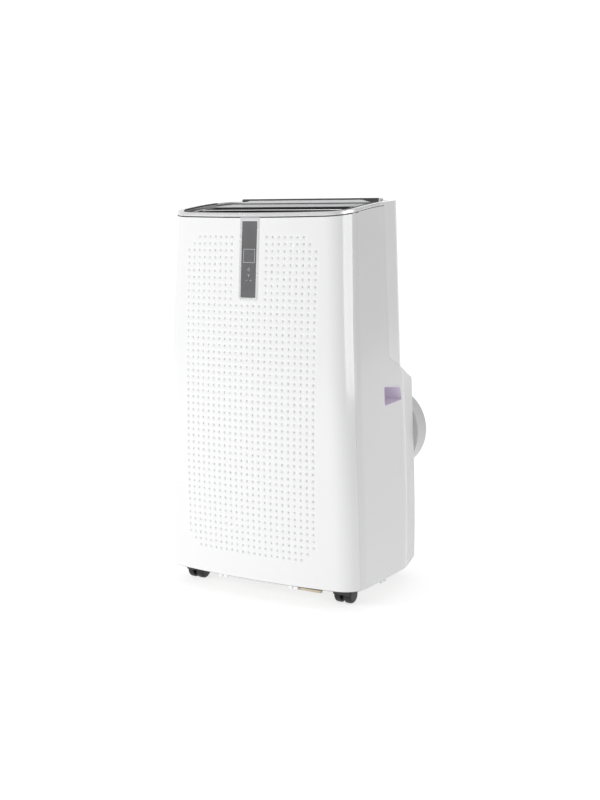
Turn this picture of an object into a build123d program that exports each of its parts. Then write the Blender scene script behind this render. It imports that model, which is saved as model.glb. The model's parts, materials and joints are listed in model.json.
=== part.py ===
"""Portable air conditioner on casters: glossy shells round a refrigeration set.

Millimetres, +Z up, +X to the right of someone facing the front, -Y to the front.
The origin is on the floor, under the middle of the bounding box.
"""

from build123d import *
import os

os.makedirs("parts", exist_ok=True)

# ---------------------------------------------------------------- driving dimensions
HALF_W = 210.0            # half width of the shell at the foot
FRONT_Y = -180.0          # foremost point of the front panel
REAR_Y = 135.0            # lower rear face
UPPER_REAR_Y = 52.0       # upper rear face, set forward of the lower one
HOSE_END_Y = 180.0        # open end of the hose adapter
SHELL_Z = 36.0            # lower edge of the shells
LOFT_TOP = 730.0          # the shell lofts are trimmed below this height
TAPER_Z = 170.0           # above this height the sides lean inwards
TAPER = 0.049             # inward lean of each side, mm per mm
FRONT_FULL_Z = 297.0      # height where the front stands furthest forward
FRONT_BOW_R = 5200.0      # radius of the front panel in side view
FRONT_PLAN_R = 1200.0     # radius of the front panel in plan
FRONT_CORNER_R = 46.0
FACET_Y = 38.0            # the sides turn inwards behind this line
FACET_IN = 26.0           # how far they have come in at the rear face
FACET_R = 80.0
REAR_CORNER_R = 22.0
WALL = 3.0
SEAM_GAP = 0.5            # visible joint between two shells
HEIGHTS = (SHELL_Z, 130.0, 250.0, 420.0, 570.0, LOFT_TOP)
WIDE = 260.0              # half width of trimming prisms, clear of everything
FAR_FRONT = -220.0
FAR_REAR = 160.0
FAR_UP = 780.0
MID_FRONT = -100.0        # behind every part of the front panel

FRONT_SEAM_DEPTH = 38.0   # front panel reaches this far behind its foremost line
SIDE_SEAM_Y = 50.0        # side panel to lower rear housing
REAR_SEAM_Y = -15.0       # side panel to upper rear housing
SHOULDER_Z = 428.3        # the shoulder's height on the line Y = 0
SHOULDER_SLOPE = 0.4695   # its fall towards the rear, mm per mm
SHOULDER_BEND = 0.000882  # how the fall eases off
TOP_START_Y = -166.0
TOP_START_Z = 683.8
TOP_RISE = 0.189
TOP_BEND = 0.004 / 12
RIM_H = 6.0
RIM_W = 12.0
DECK_LIFT = 1.0           # deck surface above the top seam
DECK_T = 3.0

OUTLET_X = 152.0          # half length of the air outlet
OUTLET_Y0 = -130.0
OUTLET_Y1 = -60.0
OUTLET_R = 20.0
LIP_W = 1.8               # wall of the chute's lip, which lines the outlet
LIP_T = 2.5               # flange under the deck that carries the lip
CHUTE_X = 154.5
CHUTE_Y0 = -132.5
CHUTE_Y1 = -57.5
CHUTE_Z0 = 646.0
PLATE = 2.5

HUB_X = 101.0             # exhaust centre
HUB_Z = 275.0
HUB_BORE_R = 75.5         # takes a 150 mm exhaust hose
HUB_R = 81.5
COLLAR_BORE_R = 71.5
COLLAR_R = 74.5

BASE_Z = 34.0
BASE_FLOOR = 38.0
BASE_TOP = 62.0

FAN_X = 0.0               # evaporator blower
FAN_Z = 540.0
FAN_R = 85.0
FAN_CASE_R = 104.0
DRUM_X = -88.0            # condenser blower
DRUM_Z = 200.0
DRUM_R = 68.0
DRUM_CASE_R = 88.0
SHAFT_R = 4.0
FIT = 0.05                # radial running clearance

CASTER_FRONT = (160.0, -114.0)
CASTER_REAR = (138.0, 92.0)
CASTER_TRAIL = 10.0
WHEEL_R = 16.0
AXLE_R = 3.0
STEM_R = 5.0


def save(builder, name):
    """Label the finished piece and write its STEP file."""
    builder.part.label = name
    export_step(builder.part, f"parts/{name}.step")


# ---------------------------------------------------------------- shell surfaces
def half_width(z):
    return HALF_W - TAPER * max(0.0, z - TAPER_Z)


def front_y(z):
    return FRONT_Y + (z - FRONT_FULL_Z) ** 2 / (2 * FRONT_BOW_R)


def corner_y(z):
    return front_y(z) + half_width(z) ** 2 / (2 * FRONT_PLAN_R)


def top_seam(y):
    """Height of the seam under the top rim, rising and flattening to the rear."""
    run = y - TOP_START_Y
    return TOP_START_Z + TOP_RISE * run - TOP_BEND * run ** 2


def shoulder(y):
    """Height of the ledge between the deep lower body and the upper one."""
    return SHOULDER_Z - SHOULDER_SLOPE * y + SHOULDER_BEND * y ** 2


def upper_corner_r(z):
    """The upper rear corners tighten from the shoulder to the top."""
    return 28.5 - 5.5 * max(0.0, z - HEIGHTS[3]) / (LOFT_TOP - HEIGHTS[3])


def vertices_at(sketch, y):
    return [v for v in sketch.vertices() if abs(v.Y - y) < 0.01]


def full_plan(z, inset):
    """Plan of the whole shell at one height, moved in by the inset."""
    w = half_width(z)
    with BuildSketch(Plane.XY.offset(z)) as plan:
        with BuildLine():
            ThreePointArc((-w, corner_y(z)), (0, front_y(z)), (w, corner_y(z)))
            Polyline((w, corner_y(z)), (w, FACET_Y), (w - FACET_IN, REAR_Y),
                     (FACET_IN - w, REAR_Y), (-w, FACET_Y), (-w, corner_y(z)))
        make_face()
        fillet(vertices_at(plan, REAR_Y), REAR_CORNER_R)
        fillet(vertices_at(plan, FACET_Y), FACET_R)
        fillet(vertices_at(plan, corner_y(z)), FRONT_CORNER_R)
        if inset:
            offset(amount=-inset, kind=Kind.INTERSECTION)
    return plan.sketch.face()


def upper_plan(z, inset):
    """Plan of the narrower upper part, which ends at the upper rear face."""
    w = half_width(z)
    with BuildSketch(Plane.XY.offset(z)) as plan:
        with BuildLine():
            ThreePointArc((-w, corner_y(z)), (0, front_y(z)), (w, corner_y(z)))
            Polyline((w, corner_y(z)), (w, UPPER_REAR_Y), (-w, UPPER_REAR_Y), (-w, corner_y(z)))
        make_face()
        fillet(vertices_at(plan, UPPER_REAR_Y), upper_corner_r(z))
        fillet(vertices_at(plan, corner_y(z)), FRONT_CORNER_R)
        if inset:
            offset(amount=-inset, kind=Kind.INTERSECTION)
    return plan.sketch.face()


def lofted(plan, inset, heights=HEIGHTS):
    with BuildPart() as body:
        loft(sections=[plan(z, inset) for z in heights])
    return body.part


def side_prism(points):
    """Prism across the whole width from a side-view polygon of (y, z) points."""
    with BuildPart() as prism:
        with BuildSketch(Plane.YZ):
            with BuildLine():
                Polyline(*points, close=True)
            make_face()
        extrude(amount=WIDE, both=True)
    return prism.part


def under_top(y0, y1, z0, lift):
    """Prism from z0 up to the top seam curve moved up by lift."""
    middle = (y0 + y1) / 2
    with BuildPart() as prism:
        with BuildSketch(Plane.YZ):
            with BuildLine():
                ThreePointArc((y0, top_seam(y0) + lift), (middle, top_seam(middle) + lift),
                              (y1, top_seam(y1) + lift))
                Polyline((y1, top_seam(y1) + lift), (y1, z0), (y0, z0), (y0, top_seam(y0) + lift))
            make_face()
        extrude(amount=WIDE, both=True)
    return prism.part


def behind_front(depth):
    """Everything further back than the front's bowed line moved in by the depth."""
    z0 = 0.0
    z1 = FAR_UP
    middle = (z0 + z1) / 2
    with BuildPart() as prism:
        with BuildSketch(Plane.YZ):
            with BuildLine():
                ThreePointArc((front_y(z0) + depth, z0), (front_y(middle) + depth, middle),
                              (front_y(z1) + depth, z1))
                Polyline((front_y(z1) + depth, z1), (FAR_REAR, z1), (FAR_REAR, z0), (front_y(z0) + depth, z0))
            make_face()
        extrude(amount=WIDE, both=True)
    return prism.part


def above_shoulder(lift):
    """Everything behind the upper rear seam and above the shoulder moved up by lift."""
    y0 = REAR_SEAM_Y
    y1 = FAR_REAR
    middle = (y0 + y1) / 2
    with BuildPart() as prism:
        with BuildSketch(Plane.YZ):
            with BuildLine():
                ThreePointArc((y0, shoulder(y0) + lift), (middle, shoulder(middle) + lift),
                              (y1, shoulder(y1) + lift))
                Polyline((y1, shoulder(y1) + lift), (y1, FAR_UP), (y0, FAR_UP), (y0, shoulder(y0) + lift))
            make_face()
        extrude(amount=WIDE, both=True)
    return prism.part


def slice_between(y0, y1):
    return side_prism([(y0, 0), (y1, 0), (y1, FAR_UP), (y0, FAR_UP)])


outer = lofted(full_plan, 0)
inner = lofted(full_plan, WALL)
rim_inner = lofted(full_plan, RIM_W)
upper_outer = lofted(upper_plan, 0, HEIGHTS[2:])
upper_inner = lofted(upper_plan, WALL, HEIGHTS[2:])
upper_rim_inner = lofted(upper_plan, RIM_W, HEIGHTS[2:])

with BuildPart() as tube:
    add(outer)
    add(inner, mode=Mode.SUBTRACT)

with BuildPart() as upper_tube:
    add(upper_outer)
    add(upper_inner, mode=Mode.SUBTRACT)

# ---------------------------------------------------------------- display
BEZEL_HALF_W = 20.0
BEZEL_Z0 = 539.0
BEZEL_Z1 = 700.0          # the opening runs out through the panel's top edge
BEZEL_R = 6.0
BEZEL_PROUD = 0.8
LENS_HALF_W = 15.5
LENS_Z0 = 544.5
LENS_Z1 = 677.0
LENS_R = 1.5
LENS_SUNK = 0.4
BOARD_Y = -161.5
BOARD_T = 1.6
DIGITS_Z = LENS_Z1 - 60.0
DIGITS_SIZE = 26.0


def front_window(half_w, z0, z1, corner):
    """Prism behind the front panel; its two lower corners are rounded."""
    with BuildPart() as prism:
        with BuildSketch(Plane.XZ.offset(100)) as window:
            with Locations((0, (z0 + z1) / 2)):
                Rectangle(2 * half_w, z1 - z0)
            fillet(window.vertices().group_by(Axis.Y)[0], corner)
        extrude(amount=100)
    return prism.part


bezel_outline = front_window(BEZEL_HALF_W, BEZEL_Z0, BEZEL_Z1, BEZEL_R)
lens_outline = front_window(LENS_HALF_W, LENS_Z0, LENS_Z1, LENS_R)

with BuildPart() as display_bezel:
    add(lofted(full_plan, -BEZEL_PROUD, HEIGHTS[3:]))
    add(lofted(full_plan, WALL, HEIGHTS[3:]), mode=Mode.SUBTRACT)
    add(bezel_outline, mode=Mode.INTERSECT)
    add(under_top(FAR_FRONT, MID_FRONT, BEZEL_Z0 - 10, -SEAM_GAP / 2), mode=Mode.INTERSECT)
    add(lens_outline, mode=Mode.SUBTRACT)
save(display_bezel, "display_bezel")

with BuildPart() as display_lens:
    add(lofted(full_plan, LENS_SUNK, HEIGHTS[3:]))
    add(inner, mode=Mode.SUBTRACT)
    add(lens_outline, mode=Mode.INTERSECT)
save(display_lens, "display_lens")

with BuildPart() as display_board:
    with Locations((0, BOARD_Y, (LENS_Z0 + LENS_Z1) / 2)):
        Box(2 * LENS_HALF_W + 3, BOARD_T, LENS_Z1 - LENS_Z0 - 4)
    with Locations((0, BOARD_Y - BOARD_T / 2 - 1, DIGITS_Z)):
        Box(DIGITS_SIZE, 2.0, DIGITS_SIZE)
save(display_board, "display_board")

# ---------------------------------------------------------------- shells
with BuildPart() as front_panel:
    add(tube.part)
    add(under_top(FAR_FRONT, MID_FRONT, SHELL_Z, 0), mode=Mode.INTERSECT)
    add(behind_front(FRONT_SEAM_DEPTH - SEAM_GAP / 2), mode=Mode.SUBTRACT)
    add(bezel_outline, mode=Mode.SUBTRACT)
save(front_panel, "front_panel")

HANDLE_OUTLINE = ((-38.0, 351.0), (31.0, 354.5), (25.0, 377.5), (-38.0, 384.5))
HANDLE_R = 3.0
CUP_BACK_X = 167.0
CUP_WALL = 2.5


def handle_prism(side, wall, back_x):
    """The grip recess, grown by the wall, from its back plate out past the shell."""
    with BuildPart() as prism:
        with BuildSketch(Plane.YZ.offset(side * back_x)) as grip:
            with BuildLine():
                Polyline(*HANDLE_OUTLINE, close=True)
            make_face()
            fillet(grip.vertices(), HANDLE_R)
            if wall:
                offset(amount=wall)
        extrude(amount=side * 60)
    return prism.part


def shoulder_shelf(y0, y1):
    """Sloping ledge that closes the shell between the side and the upper housing."""
    with BuildPart() as shelf:
        add(outer)
        add(above_shoulder(-WALL), mode=Mode.INTERSECT)
        add(above_shoulder(0), mode=Mode.SUBTRACT)
        add(slice_between(y0, y1), mode=Mode.INTERSECT)
        add(upper_inner, mode=Mode.SUBTRACT)
    return shelf.part


for side, word in ((-1, "left"), (1, "right")):
    with BuildPart() as cup:
        add(handle_prism(side, CUP_WALL, CUP_BACK_X))
        add(outer, mode=Mode.INTERSECT)
        add(handle_prism(side, 0, CUP_BACK_X + CUP_WALL), mode=Mode.SUBTRACT)
    save(cup, f"handle_cup_{word}")

    with BuildPart() as side_panel:
        add(tube.part)
        add(under_top(FAR_FRONT, SIDE_SEAM_Y - SEAM_GAP / 2, SHELL_Z, 0), mode=Mode.INTERSECT)
        add(behind_front(FRONT_SEAM_DEPTH + SEAM_GAP / 2), mode=Mode.INTERSECT)
        add(above_shoulder(0), mode=Mode.SUBTRACT)
        add(shoulder_shelf(REAR_SEAM_Y, SIDE_SEAM_Y - SEAM_GAP / 2))
        add(handle_prism(side, CUP_WALL, CUP_BACK_X), mode=Mode.SUBTRACT)
        split(bisect_by=Plane.YZ, keep=Keep.TOP if side > 0 else Keep.BOTTOM)
    save(side_panel, f"side_panel_{word}")

FILTER_Y0 = 38.2
FILTER_Y1 = 45.0
FILTER_Z0 = 446.0
FILTER_X = 148.0
SLOT_X = 152.0            # the filter's grip drops into a slot this wide each way
SLOT_Y = 42.25
SLOT_W = 13.5
GRILLE_Z = 566.0
GRILLE_PITCH = 11.0
GRILLE_ROWS = 22
GRILLE_SPLIT = 98.0       # spacing of the three columns of louvre slots
GRILLE_SLOT_W = 90.0
GRILLE_SLOT_H = 5.0
RAIL_X = 153.5
RAIL_W = 9.0
RAIL_D = 14.0
RAIL_Z0 = 432.0
RAIL_Z1 = 690.0
GROOVE_X = 149.2
GROOVE_W = 3.0

with BuildPart() as crown:
    add(upper_outer)
    add(upper_rim_inner, mode=Mode.SUBTRACT)
    add(under_top(REAR_SEAM_Y, UPPER_REAR_Y + 8, 600, RIM_H), mode=Mode.INTERSECT)
    add(under_top(REAR_SEAM_Y - 10, UPPER_REAR_Y + 18, 500, RIM_H - WALL), mode=Mode.SUBTRACT)

with BuildPart() as rear_upper:
    add(upper_tube.part)
    add(crown.part)
    add(above_shoulder(SEAM_GAP), mode=Mode.INTERSECT)
    add(slice_between(REAR_SEAM_Y + SEAM_GAP, FAR_REAR), mode=Mode.INTERSECT)
    add(under_top(-60, 90, 300, RIM_H), mode=Mode.INTERSECT)
    with Locations((0, SLOT_Y, 700)):
        Box(2 * SLOT_X, SLOT_W, 60, mode=Mode.SUBTRACT)
    with Locations((0, UPPER_REAR_Y, GRILLE_Z)):
        with GridLocations(GRILLE_SPLIT, 0, 3, 1):
            with Locations(*[(0, 0, GRILLE_PITCH * (i - (GRILLE_ROWS - 1) / 2)) for i in range(GRILLE_ROWS)]):
                Box(GRILLE_SLOT_W, 12, GRILLE_SLOT_H, mode=Mode.SUBTRACT)
    for s in (-1, 1):
        with Locations((s * RAIL_X, 42.5, (RAIL_Z0 + RAIL_Z1) / 2)):
            Box(RAIL_W, RAIL_D, RAIL_Z1 - RAIL_Z0)
        with Locations((s * GROOVE_X, (FILTER_Y0 + FILTER_Y1) / 2, (FILTER_Z0 + RAIL_Z1 + 10) / 2)):
            Box(GROOVE_W, FILTER_Y1 - FILTER_Y0 + 1, RAIL_Z1 + 11 - FILTER_Z0, mode=Mode.SUBTRACT)
save(rear_upper, "rear_housing_upper")

COVER_X0 = -166.0
COVER_X1 = -8.0
COVER_Z0 = 92.0
COVER_Z1 = 344.0
COVER_X = (COVER_X0 + COVER_X1) / 2
COVER_Z = (COVER_Z0 + COVER_Z1) / 2
COVER_W = COVER_X1 - COVER_X0
COVER_H = COVER_Z1 - COVER_Z0
CLEAR = 0.4

DRAIN_X = -60.0
DRAIN_Z = 76.0
SPOUT_R = 9.0
GLAND_X = 130.0
GLAND_Z = 84.0
GLAND_R = 9.0

with BuildPart() as rear_lower:
    add(tube.part)
    add(slice_between(SIDE_SEAM_Y + SEAM_GAP / 2, FAR_REAR), mode=Mode.INTERSECT)
    add(above_shoulder(0), mode=Mode.SUBTRACT)
    add(shoulder_shelf(SIDE_SEAM_Y + SEAM_GAP / 2, FAR_REAR))
    with Locations((COVER_X, REAR_Y, COVER_Z)):
        Box(COVER_W, 20, COVER_H, mode=Mode.SUBTRACT)
    with Locations(Location((HUB_X, REAR_Y, HUB_Z), (90, 0, 0))):
        Cylinder(COLLAR_R, 20, mode=Mode.SUBTRACT)
    with Locations(Location((DRAIN_X, REAR_Y, DRAIN_Z), (90, 0, 0))):
        Cylinder(SPOUT_R, 20, mode=Mode.SUBTRACT)
    with Locations(Location((GLAND_X, REAR_Y, GLAND_Z), (90, 0, 0))):
        Cylinder(GLAND_R, 20, mode=Mode.SUBTRACT)
save(rear_lower, "rear_housing_lower")

with BuildPart() as top_rim:
    add(outer)
    add(rim_inner, mode=Mode.SUBTRACT)
    add(under_top(FAR_FRONT, REAR_SEAM_Y, 600, RIM_H), mode=Mode.INTERSECT)
    add(under_top(FAR_FRONT - 20, 0, 500, SEAM_GAP), mode=Mode.SUBTRACT)
save(top_rim, "top_rim")

DECK_END_Y = 35.4         # the deck stops at the slot for the filter
with BuildPart() as top_deck:
    add(upper_rim_inner)
    add(under_top(FAR_FRONT, DECK_END_Y, 600, DECK_LIFT), mode=Mode.INTERSECT)
    add(under_top(FAR_FRONT - 20, 60, 500, DECK_LIFT - DECK_T), mode=Mode.SUBTRACT)
    with BuildSketch(Plane.XY.offset(640)) as outlet:
        with Locations((0, (OUTLET_Y0 + OUTLET_Y1) / 2)):
            RectangleRounded(2 * OUTLET_X, OUTLET_Y1 - OUTLET_Y0, OUTLET_R)
    extrude(amount=100, mode=Mode.SUBTRACT)
save(top_deck, "top_deck")

# ---------------------------------------------------------------- base pan
SLEEVE_R = 9.0
PAN_INSET = 4.5
CASTER_SPOTS = [(s * x, y) for x, y in (CASTER_FRONT, CASTER_REAR) for s in (-1, 1)]
SLEEVE_H = 24.0

with BuildPart() as base_pan:
    with BuildSketch(Plane.XY.offset(BASE_Z)):
        add(full_plan(SHELL_Z, PAN_INSET).moved(Location((0, 0, BASE_Z - SHELL_Z))))
    extrude(amount=BASE_TOP - BASE_Z)
    with BuildSketch(Plane.XY.offset(BASE_FLOOR)):
        add(full_plan(SHELL_Z, PAN_INSET + WALL).moved(Location((0, 0, BASE_FLOOR - SHELL_Z))))
    extrude(amount=BASE_TOP, mode=Mode.SUBTRACT)
    with Locations(*[(x, y, BASE_Z) for x, y in CASTER_SPOTS]):
        Cylinder(SLEEVE_R, SLEEVE_H, align=(Align.CENTER, Align.CENTER, Align.MIN))
    with Locations(*[(x, y, BASE_Z) for x, y in CASTER_SPOTS]):
        Cylinder(STEM_R + FIT, 60, mode=Mode.SUBTRACT)
save(base_pan, "base_pan")

CLIP_H = 5.0
CLIP_Z = SHELL_Z - CLIP_H / 2
FRONT_CLIPS = ((-65.0, -170.0), (-54.0, -170.2), (84.0, -169.4), (95.0, -168.9))
FRONT_CLIP = (7.0, 4.0)
SIDE_CLIP_X = 207.8
SIDE_CLIP_YS = (-58.0, -44.0)
SIDE_CLIP = (3.6, 7.0)

# Hooks along the foot that hold the front and side shells to the pan.
with BuildPart() as shell_clips:
    for x, y in FRONT_CLIPS:
        with Locations((x, y, CLIP_Z)):
            Box(*FRONT_CLIP, CLIP_H)
    for x in (-SIDE_CLIP_X, SIDE_CLIP_X):
        for y in SIDE_CLIP_YS:
            with Locations((x, y, CLIP_Z)):
                Box(*SIDE_CLIP, CLIP_H)
save(shell_clips, "shell_clips")

BAR_X = 118.0
BAR_Y = -161.5
BAR_L = 50.0
BAR_W = 9.0
BAR_H = 4.2
BAR_END_R = 2.0
with BuildPart() as transport_bar:
    with Locations((BAR_X, BAR_Y, BASE_Z - BAR_H / 2)):
        Box(BAR_L, BAR_W, BAR_H)
    fillet(transport_bar.edges().filter_by(Axis.Z), BAR_END_R)
save(transport_bar, "transport_bar")

# ---------------------------------------------------------------- casters
HOOD_R = 18.6             # outside of the cap over the wheels
WELL_R = 16.8             # inside of the cap
HOOD_HALF_W = 15.5
HOOD_TOP = 33.6
HOOD_FRONT = 11.0         # the hood's flat top runs from here in front of the stem
HOOD_BACK = 18.0          # to here behind it
CAP_EDGE_Z = 18.0         # the cap ends here and shows the lower half of the wheels
WEB = 3.0                 # half thickness of the web between the wheels
WEB_D = 14.0
WEB_Z0 = 5.0
WHEEL_IN = 3.8
WHEEL_OUT = 17.5
TREAD_OUT_R = 5.5
TREAD_IN_R = 2.0
STEM_H = 22.0
BIG = 60.0                # cutter size, larger than a caster
AXLE_Z = WHEEL_R
UP = (Align.CENTER, Align.CENTER, Align.MIN)

for (cx, cy), word in zip(CASTER_SPOTS, ("front_left", "front_right", "rear_left", "rear_right")):
    axle_y = cy + CASTER_TRAIL
    axle = Location((cx, axle_y, AXLE_Z), (0, 90, 0))
    with BuildPart() as hood:
        with BuildSketch(Plane.YZ.offset(cx - HOOD_HALF_W)):
            with Locations((axle_y, AXLE_Z)):
                Circle(HOOD_R)
            with BuildLine():
                Polyline((axle_y - HOOD_R, AXLE_Z), (cy - HOOD_FRONT, HOOD_TOP), (cy + HOOD_BACK, HOOD_TOP),
                         (axle_y + HOOD_R, AXLE_Z), close=True)
            make_face()
        extrude(amount=2 * HOOD_HALF_W)
        with Locations((cx, axle_y, 0)):
            Box(BIG, BIG, 2 * CAP_EDGE_Z, mode=Mode.SUBTRACT)
        with Locations((cx, axle_y, HOOD_TOP)):
            Box(BIG, BIG, BIG, align=UP, mode=Mode.SUBTRACT)
        for s in (-1, 1):
            with Locations(Location((cx + s * (WEB + BIG / 2), axle_y, AXLE_Z), (0, 90, 0))):
                Cylinder(WELL_R, BIG, mode=Mode.SUBTRACT)
        with Locations((cx, axle_y, WEB_Z0)):
            Box(2 * WEB, WEB_D, CAP_EDGE_Z + 2 - WEB_Z0, align=UP)
        with Locations(axle):
            Cylinder(AXLE_R + FIT, BIG, mode=Mode.SUBTRACT)
        with Locations((cx, cy, HOOD_TOP)):
            Cylinder(STEM_R, STEM_H, align=UP)
    save(hood, f"caster_hood_{word}")

    with BuildPart() as wheels:
        for s in (-1, 1):
            middle = cx + s * (WHEEL_IN + WHEEL_OUT) / 2
            with Locations(Location((middle, axle_y, AXLE_Z), (0, 90, 0))):
                Cylinder(WHEEL_R, WHEEL_OUT - WHEEL_IN)
        rims = wheels.edges().filter_by(GeomType.CIRCLE).sort_by(Axis.X)
        fillet([rims[0], rims[-1]], TREAD_OUT_R)
        fillet(wheels.edges().filter_by(GeomType.CIRCLE).filter_by_position(Axis.X, cx - WHEEL_IN - 0.1,
                                                                            cx + WHEEL_IN + 0.1), TREAD_IN_R)
        with Locations(axle):
            Cylinder(AXLE_R, 2 * WHEEL_OUT - 4)
    save(wheels, f"caster_wheels_{word}")

# ---------------------------------------------------------------- inner frame
DIVIDER_Z = 405.0
DIVIDER_T = 4.0

with BuildPart() as inner_frame:
    with Locations((0, -53, DIVIDER_Z + DIVIDER_T / 2)):
        Box(364, 174, DIVIDER_T)
    for s in (-1, 1):
        with Locations((s * 180, -102, BASE_FLOOR)):
            Box(3, 60, DIVIDER_Z - BASE_FLOOR, align=(Align.CENTER, Align.CENTER, Align.MIN))
        with Locations((s * 186, -102, BASE_FLOOR)):
            Box(14, 60, 3, align=(Align.CENTER, Align.CENTER, Align.MIN))
    with Locations((158, -20, DIVIDER_Z)):
        Cylinder(9, 20, mode=Mode.SUBTRACT)
save(inner_frame, "inner_frame")

# ---------------------------------------------------------------- cold side
FAN_Y0 = -112.0
FAN_Y1 = -52.0


def along_y(x, y, z):
    """Place a cylinder whose axis lies along Y, with its middle at the point."""
    return Location((x, y, z), (90, 0, 0))


def squirrel_cage(x, z, y0, y1, r, blades, shaft_y0):
    """Centrifugal wheel: back plate, slanted blades, end ring, and the shaft pressed in its hub."""
    with BuildPart() as wheel:
        with Locations(along_y(x, y0 + 1.5, z)):
            Cylinder(r, 3)
        with Locations(along_y(x, y1 - 1.5, z)):
            Cylinder(r, 3)
        with Locations(along_y(x, y1 - 1.5, z)):
            Cylinder(r - 13, 6, mode=Mode.SUBTRACT)
        with BuildSketch(Plane.XZ.offset(-y0)):
            with Locations((x, z)):
                with PolarLocations(r - 7, blades):
                    Rectangle(12, 1.6, rotation=28)
        extrude(amount=-(y1 - y0))
        with Locations(along_y(x, y0 + 10, z)):
            Cylinder(13, 20)
        with Locations(along_y(x, (shaft_y0 + y0 + 22) / 2, z)):
            Cylinder(SHAFT_R, y0 + 22 - shaft_y0)
    return wheel



FAN_CASE_Y0 = -118.0
FAN_CASE_Y1 = -45.0
NECK_X0 = -104.0
NECK_X1 = 20.0

with BuildPart() as cold_scroll:
    with BuildSketch(Plane.XZ.offset(-FAN_CASE_Y0)):
        with Locations((FAN_X, FAN_Z)):
            Circle(FAN_CASE_R)
        with Locations(((NECK_X0 + NECK_X1) / 2, FAN_Z)):
            Rectangle(NECK_X1 - NECK_X0, CHUTE_Z0 - FAN_Z, align=(Align.CENTER, Align.MIN))
    extrude(amount=-(FAN_CASE_Y1 - FAN_CASE_Y0))
    with Locations((0, (FAN_CASE_Y0 + FAN_CASE_Y1) / 2, DIVIDER_Z + DIVIDER_T)):
        Box(130, FAN_CASE_Y1 - FAN_CASE_Y0, 45, align=(Align.CENTER, Align.CENTER, Align.MIN))
    with BuildSketch(Plane.XZ.offset(-FAN_CASE_Y0 - PLATE)):
        with Locations((FAN_X, FAN_Z)):
            Circle(FAN_CASE_R - PLATE)
        with Locations(((NECK_X0 + NECK_X1) / 2, FAN_Z)):
            Rectangle(NECK_X1 - NECK_X0 - 2 * PLATE, 200, align=(Align.CENTER, Align.MIN))
    extrude(amount=-(FAN_CASE_Y1 - FAN_CASE_Y0 - 2 * PLATE), mode=Mode.SUBTRACT)
    with Locations(along_y(FAN_X, FAN_CASE_Y1, FAN_Z)):
        Cylinder(70, 12, mode=Mode.SUBTRACT)
    with Locations(along_y(FAN_X, FAN_CASE_Y0, FAN_Z)):
        Cylinder(8, 12, mode=Mode.SUBTRACT)
save(cold_scroll, "cold_blower_housing")


def motor(x, z, y0, y1, r):
    """Can motor with a bored end where its shaft comes out at y1."""
    with BuildPart() as can:
        with Locations(along_y(x, (y0 + y1) / 2, z)):
            Cylinder(r, y1 - y0)
        fillet(can.edges().filter_by(GeomType.CIRCLE), 4)
        with Locations(along_y(x, y1, z)):
            Cylinder(SHAFT_R + FIT, 36, mode=Mode.SUBTRACT)
    return can


save(motor(FAN_X, FAN_Z, -158, FAN_CASE_Y0, 40), "cold_blower_motor")
save(squirrel_cage(FAN_X, FAN_Z, FAN_Y0, FAN_Y1, FAN_R, 24, -134), "cold_blower_wheel")


def coil(x0, x1, y0, y1, z0, z1, pitch, rows):
    """Fin-and-tube coil: fins between two end plates, return bends at the right."""
    middle_y = (y0 + y1) / 2
    middle_z = (z0 + z1) / 2
    middle_x = (x0 + x1) / 2
    count = int((x1 - x0 - 12) / pitch)
    with BuildPart() as pack:
        with Locations((middle_x, middle_y, middle_z)):
            Box(x1 - x0, y1 - y0, z1 - z0)
        with Locations((middle_x, y1, middle_z)):
            with GridLocations(pitch, 0, count, 1):
                Box(pitch * 0.6, (y1 - y0) * 1.3, z1 - z0 + 2, mode=Mode.SUBTRACT)
        row_gap = (z1 - z0) / rows
        for i in range(rows // 2):
            bend_z = z0 + row_gap * (2 * i + 1)
            with BuildSketch(Plane.XZ.offset(-middle_y)):
                with Locations((x1, bend_z)):
                    SlotCenterToCenter(row_gap, 7, rotation=90)
                    SlotCenterToCenter(row_gap - 7, 4, rotation=90, mode=Mode.SUBTRACT)
            extrude(amount=3.5, both=True)
    return pack


HEADER_X = 158.0
HEADER_Y = 20.0
with BuildPart() as evaporator:
    add(coil(-150, 150, 2, 34, 444, 668, 6, 12).part)
    with Locations((HEADER_X, HEADER_Y, 450)):
        Cylinder(6, 184, align=(Align.CENTER, Align.CENTER, Align.MIN))
    with Locations((HEADER_X, HEADER_Y, 640)):
        Cylinder(7.5, 12)
    with Locations((HEADER_X - 4, HEADER_Y, 458), (HEADER_X - 4, HEADER_Y, 600)):
        Box(12, 6, 6)
save(evaporator, "evaporator")

TRAY_Z0 = 412.0
TRAY_Z1 = 443.0
with BuildPart() as drip_tray:
    with Locations((0, 14, (TRAY_Z0 + TRAY_Z1) / 2)):
        Box(304, 41, TRAY_Z1 - TRAY_Z0)
    with Locations((0, 14, TRAY_Z1)):
        Box(300, 37, 2 * (TRAY_Z1 - TRAY_Z0 - 18), mode=Mode.SUBTRACT)
    with Locations((-120, 15, TRAY_Z0)):
        Cylinder(5, 60, mode=Mode.SUBTRACT)
save(drip_tray, "drip_tray")

# ---------------------------------------------------------------- upper filter
GRIP_Z0 = 703.0
GRIP_Z1 = 719.0
GRIP_X = 150.0
GRIP_D = 12.4
GRIP_R = 2.5
FRAME_BORDER = 9.0
NET_T = 0.8

def filter_pane(x0, x1, y0, y1, z0, z1, border, columns, rows):
    """Flat frame with crossing ribs; the mesh node fills its windows."""
    span_x = x1 - x0 - 2 * border
    span_z = z1 - z0 - 2 * border
    middle = ((x0 + x1) / 2, (y0 + y1) / 2, (z0 + z1) / 2)
    rib = 3.0
    with BuildPart() as pane:
        with Locations(middle):
            Box(x1 - x0, y1 - y0, z1 - z0)
        with Locations(Location(middle, (90, 0, 0))):
            with GridLocations(span_x / columns, span_z / rows, columns, rows):
                Box(span_x / columns - rib, span_z / rows - rib, 40, mode=Mode.SUBTRACT)
    return pane


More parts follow.
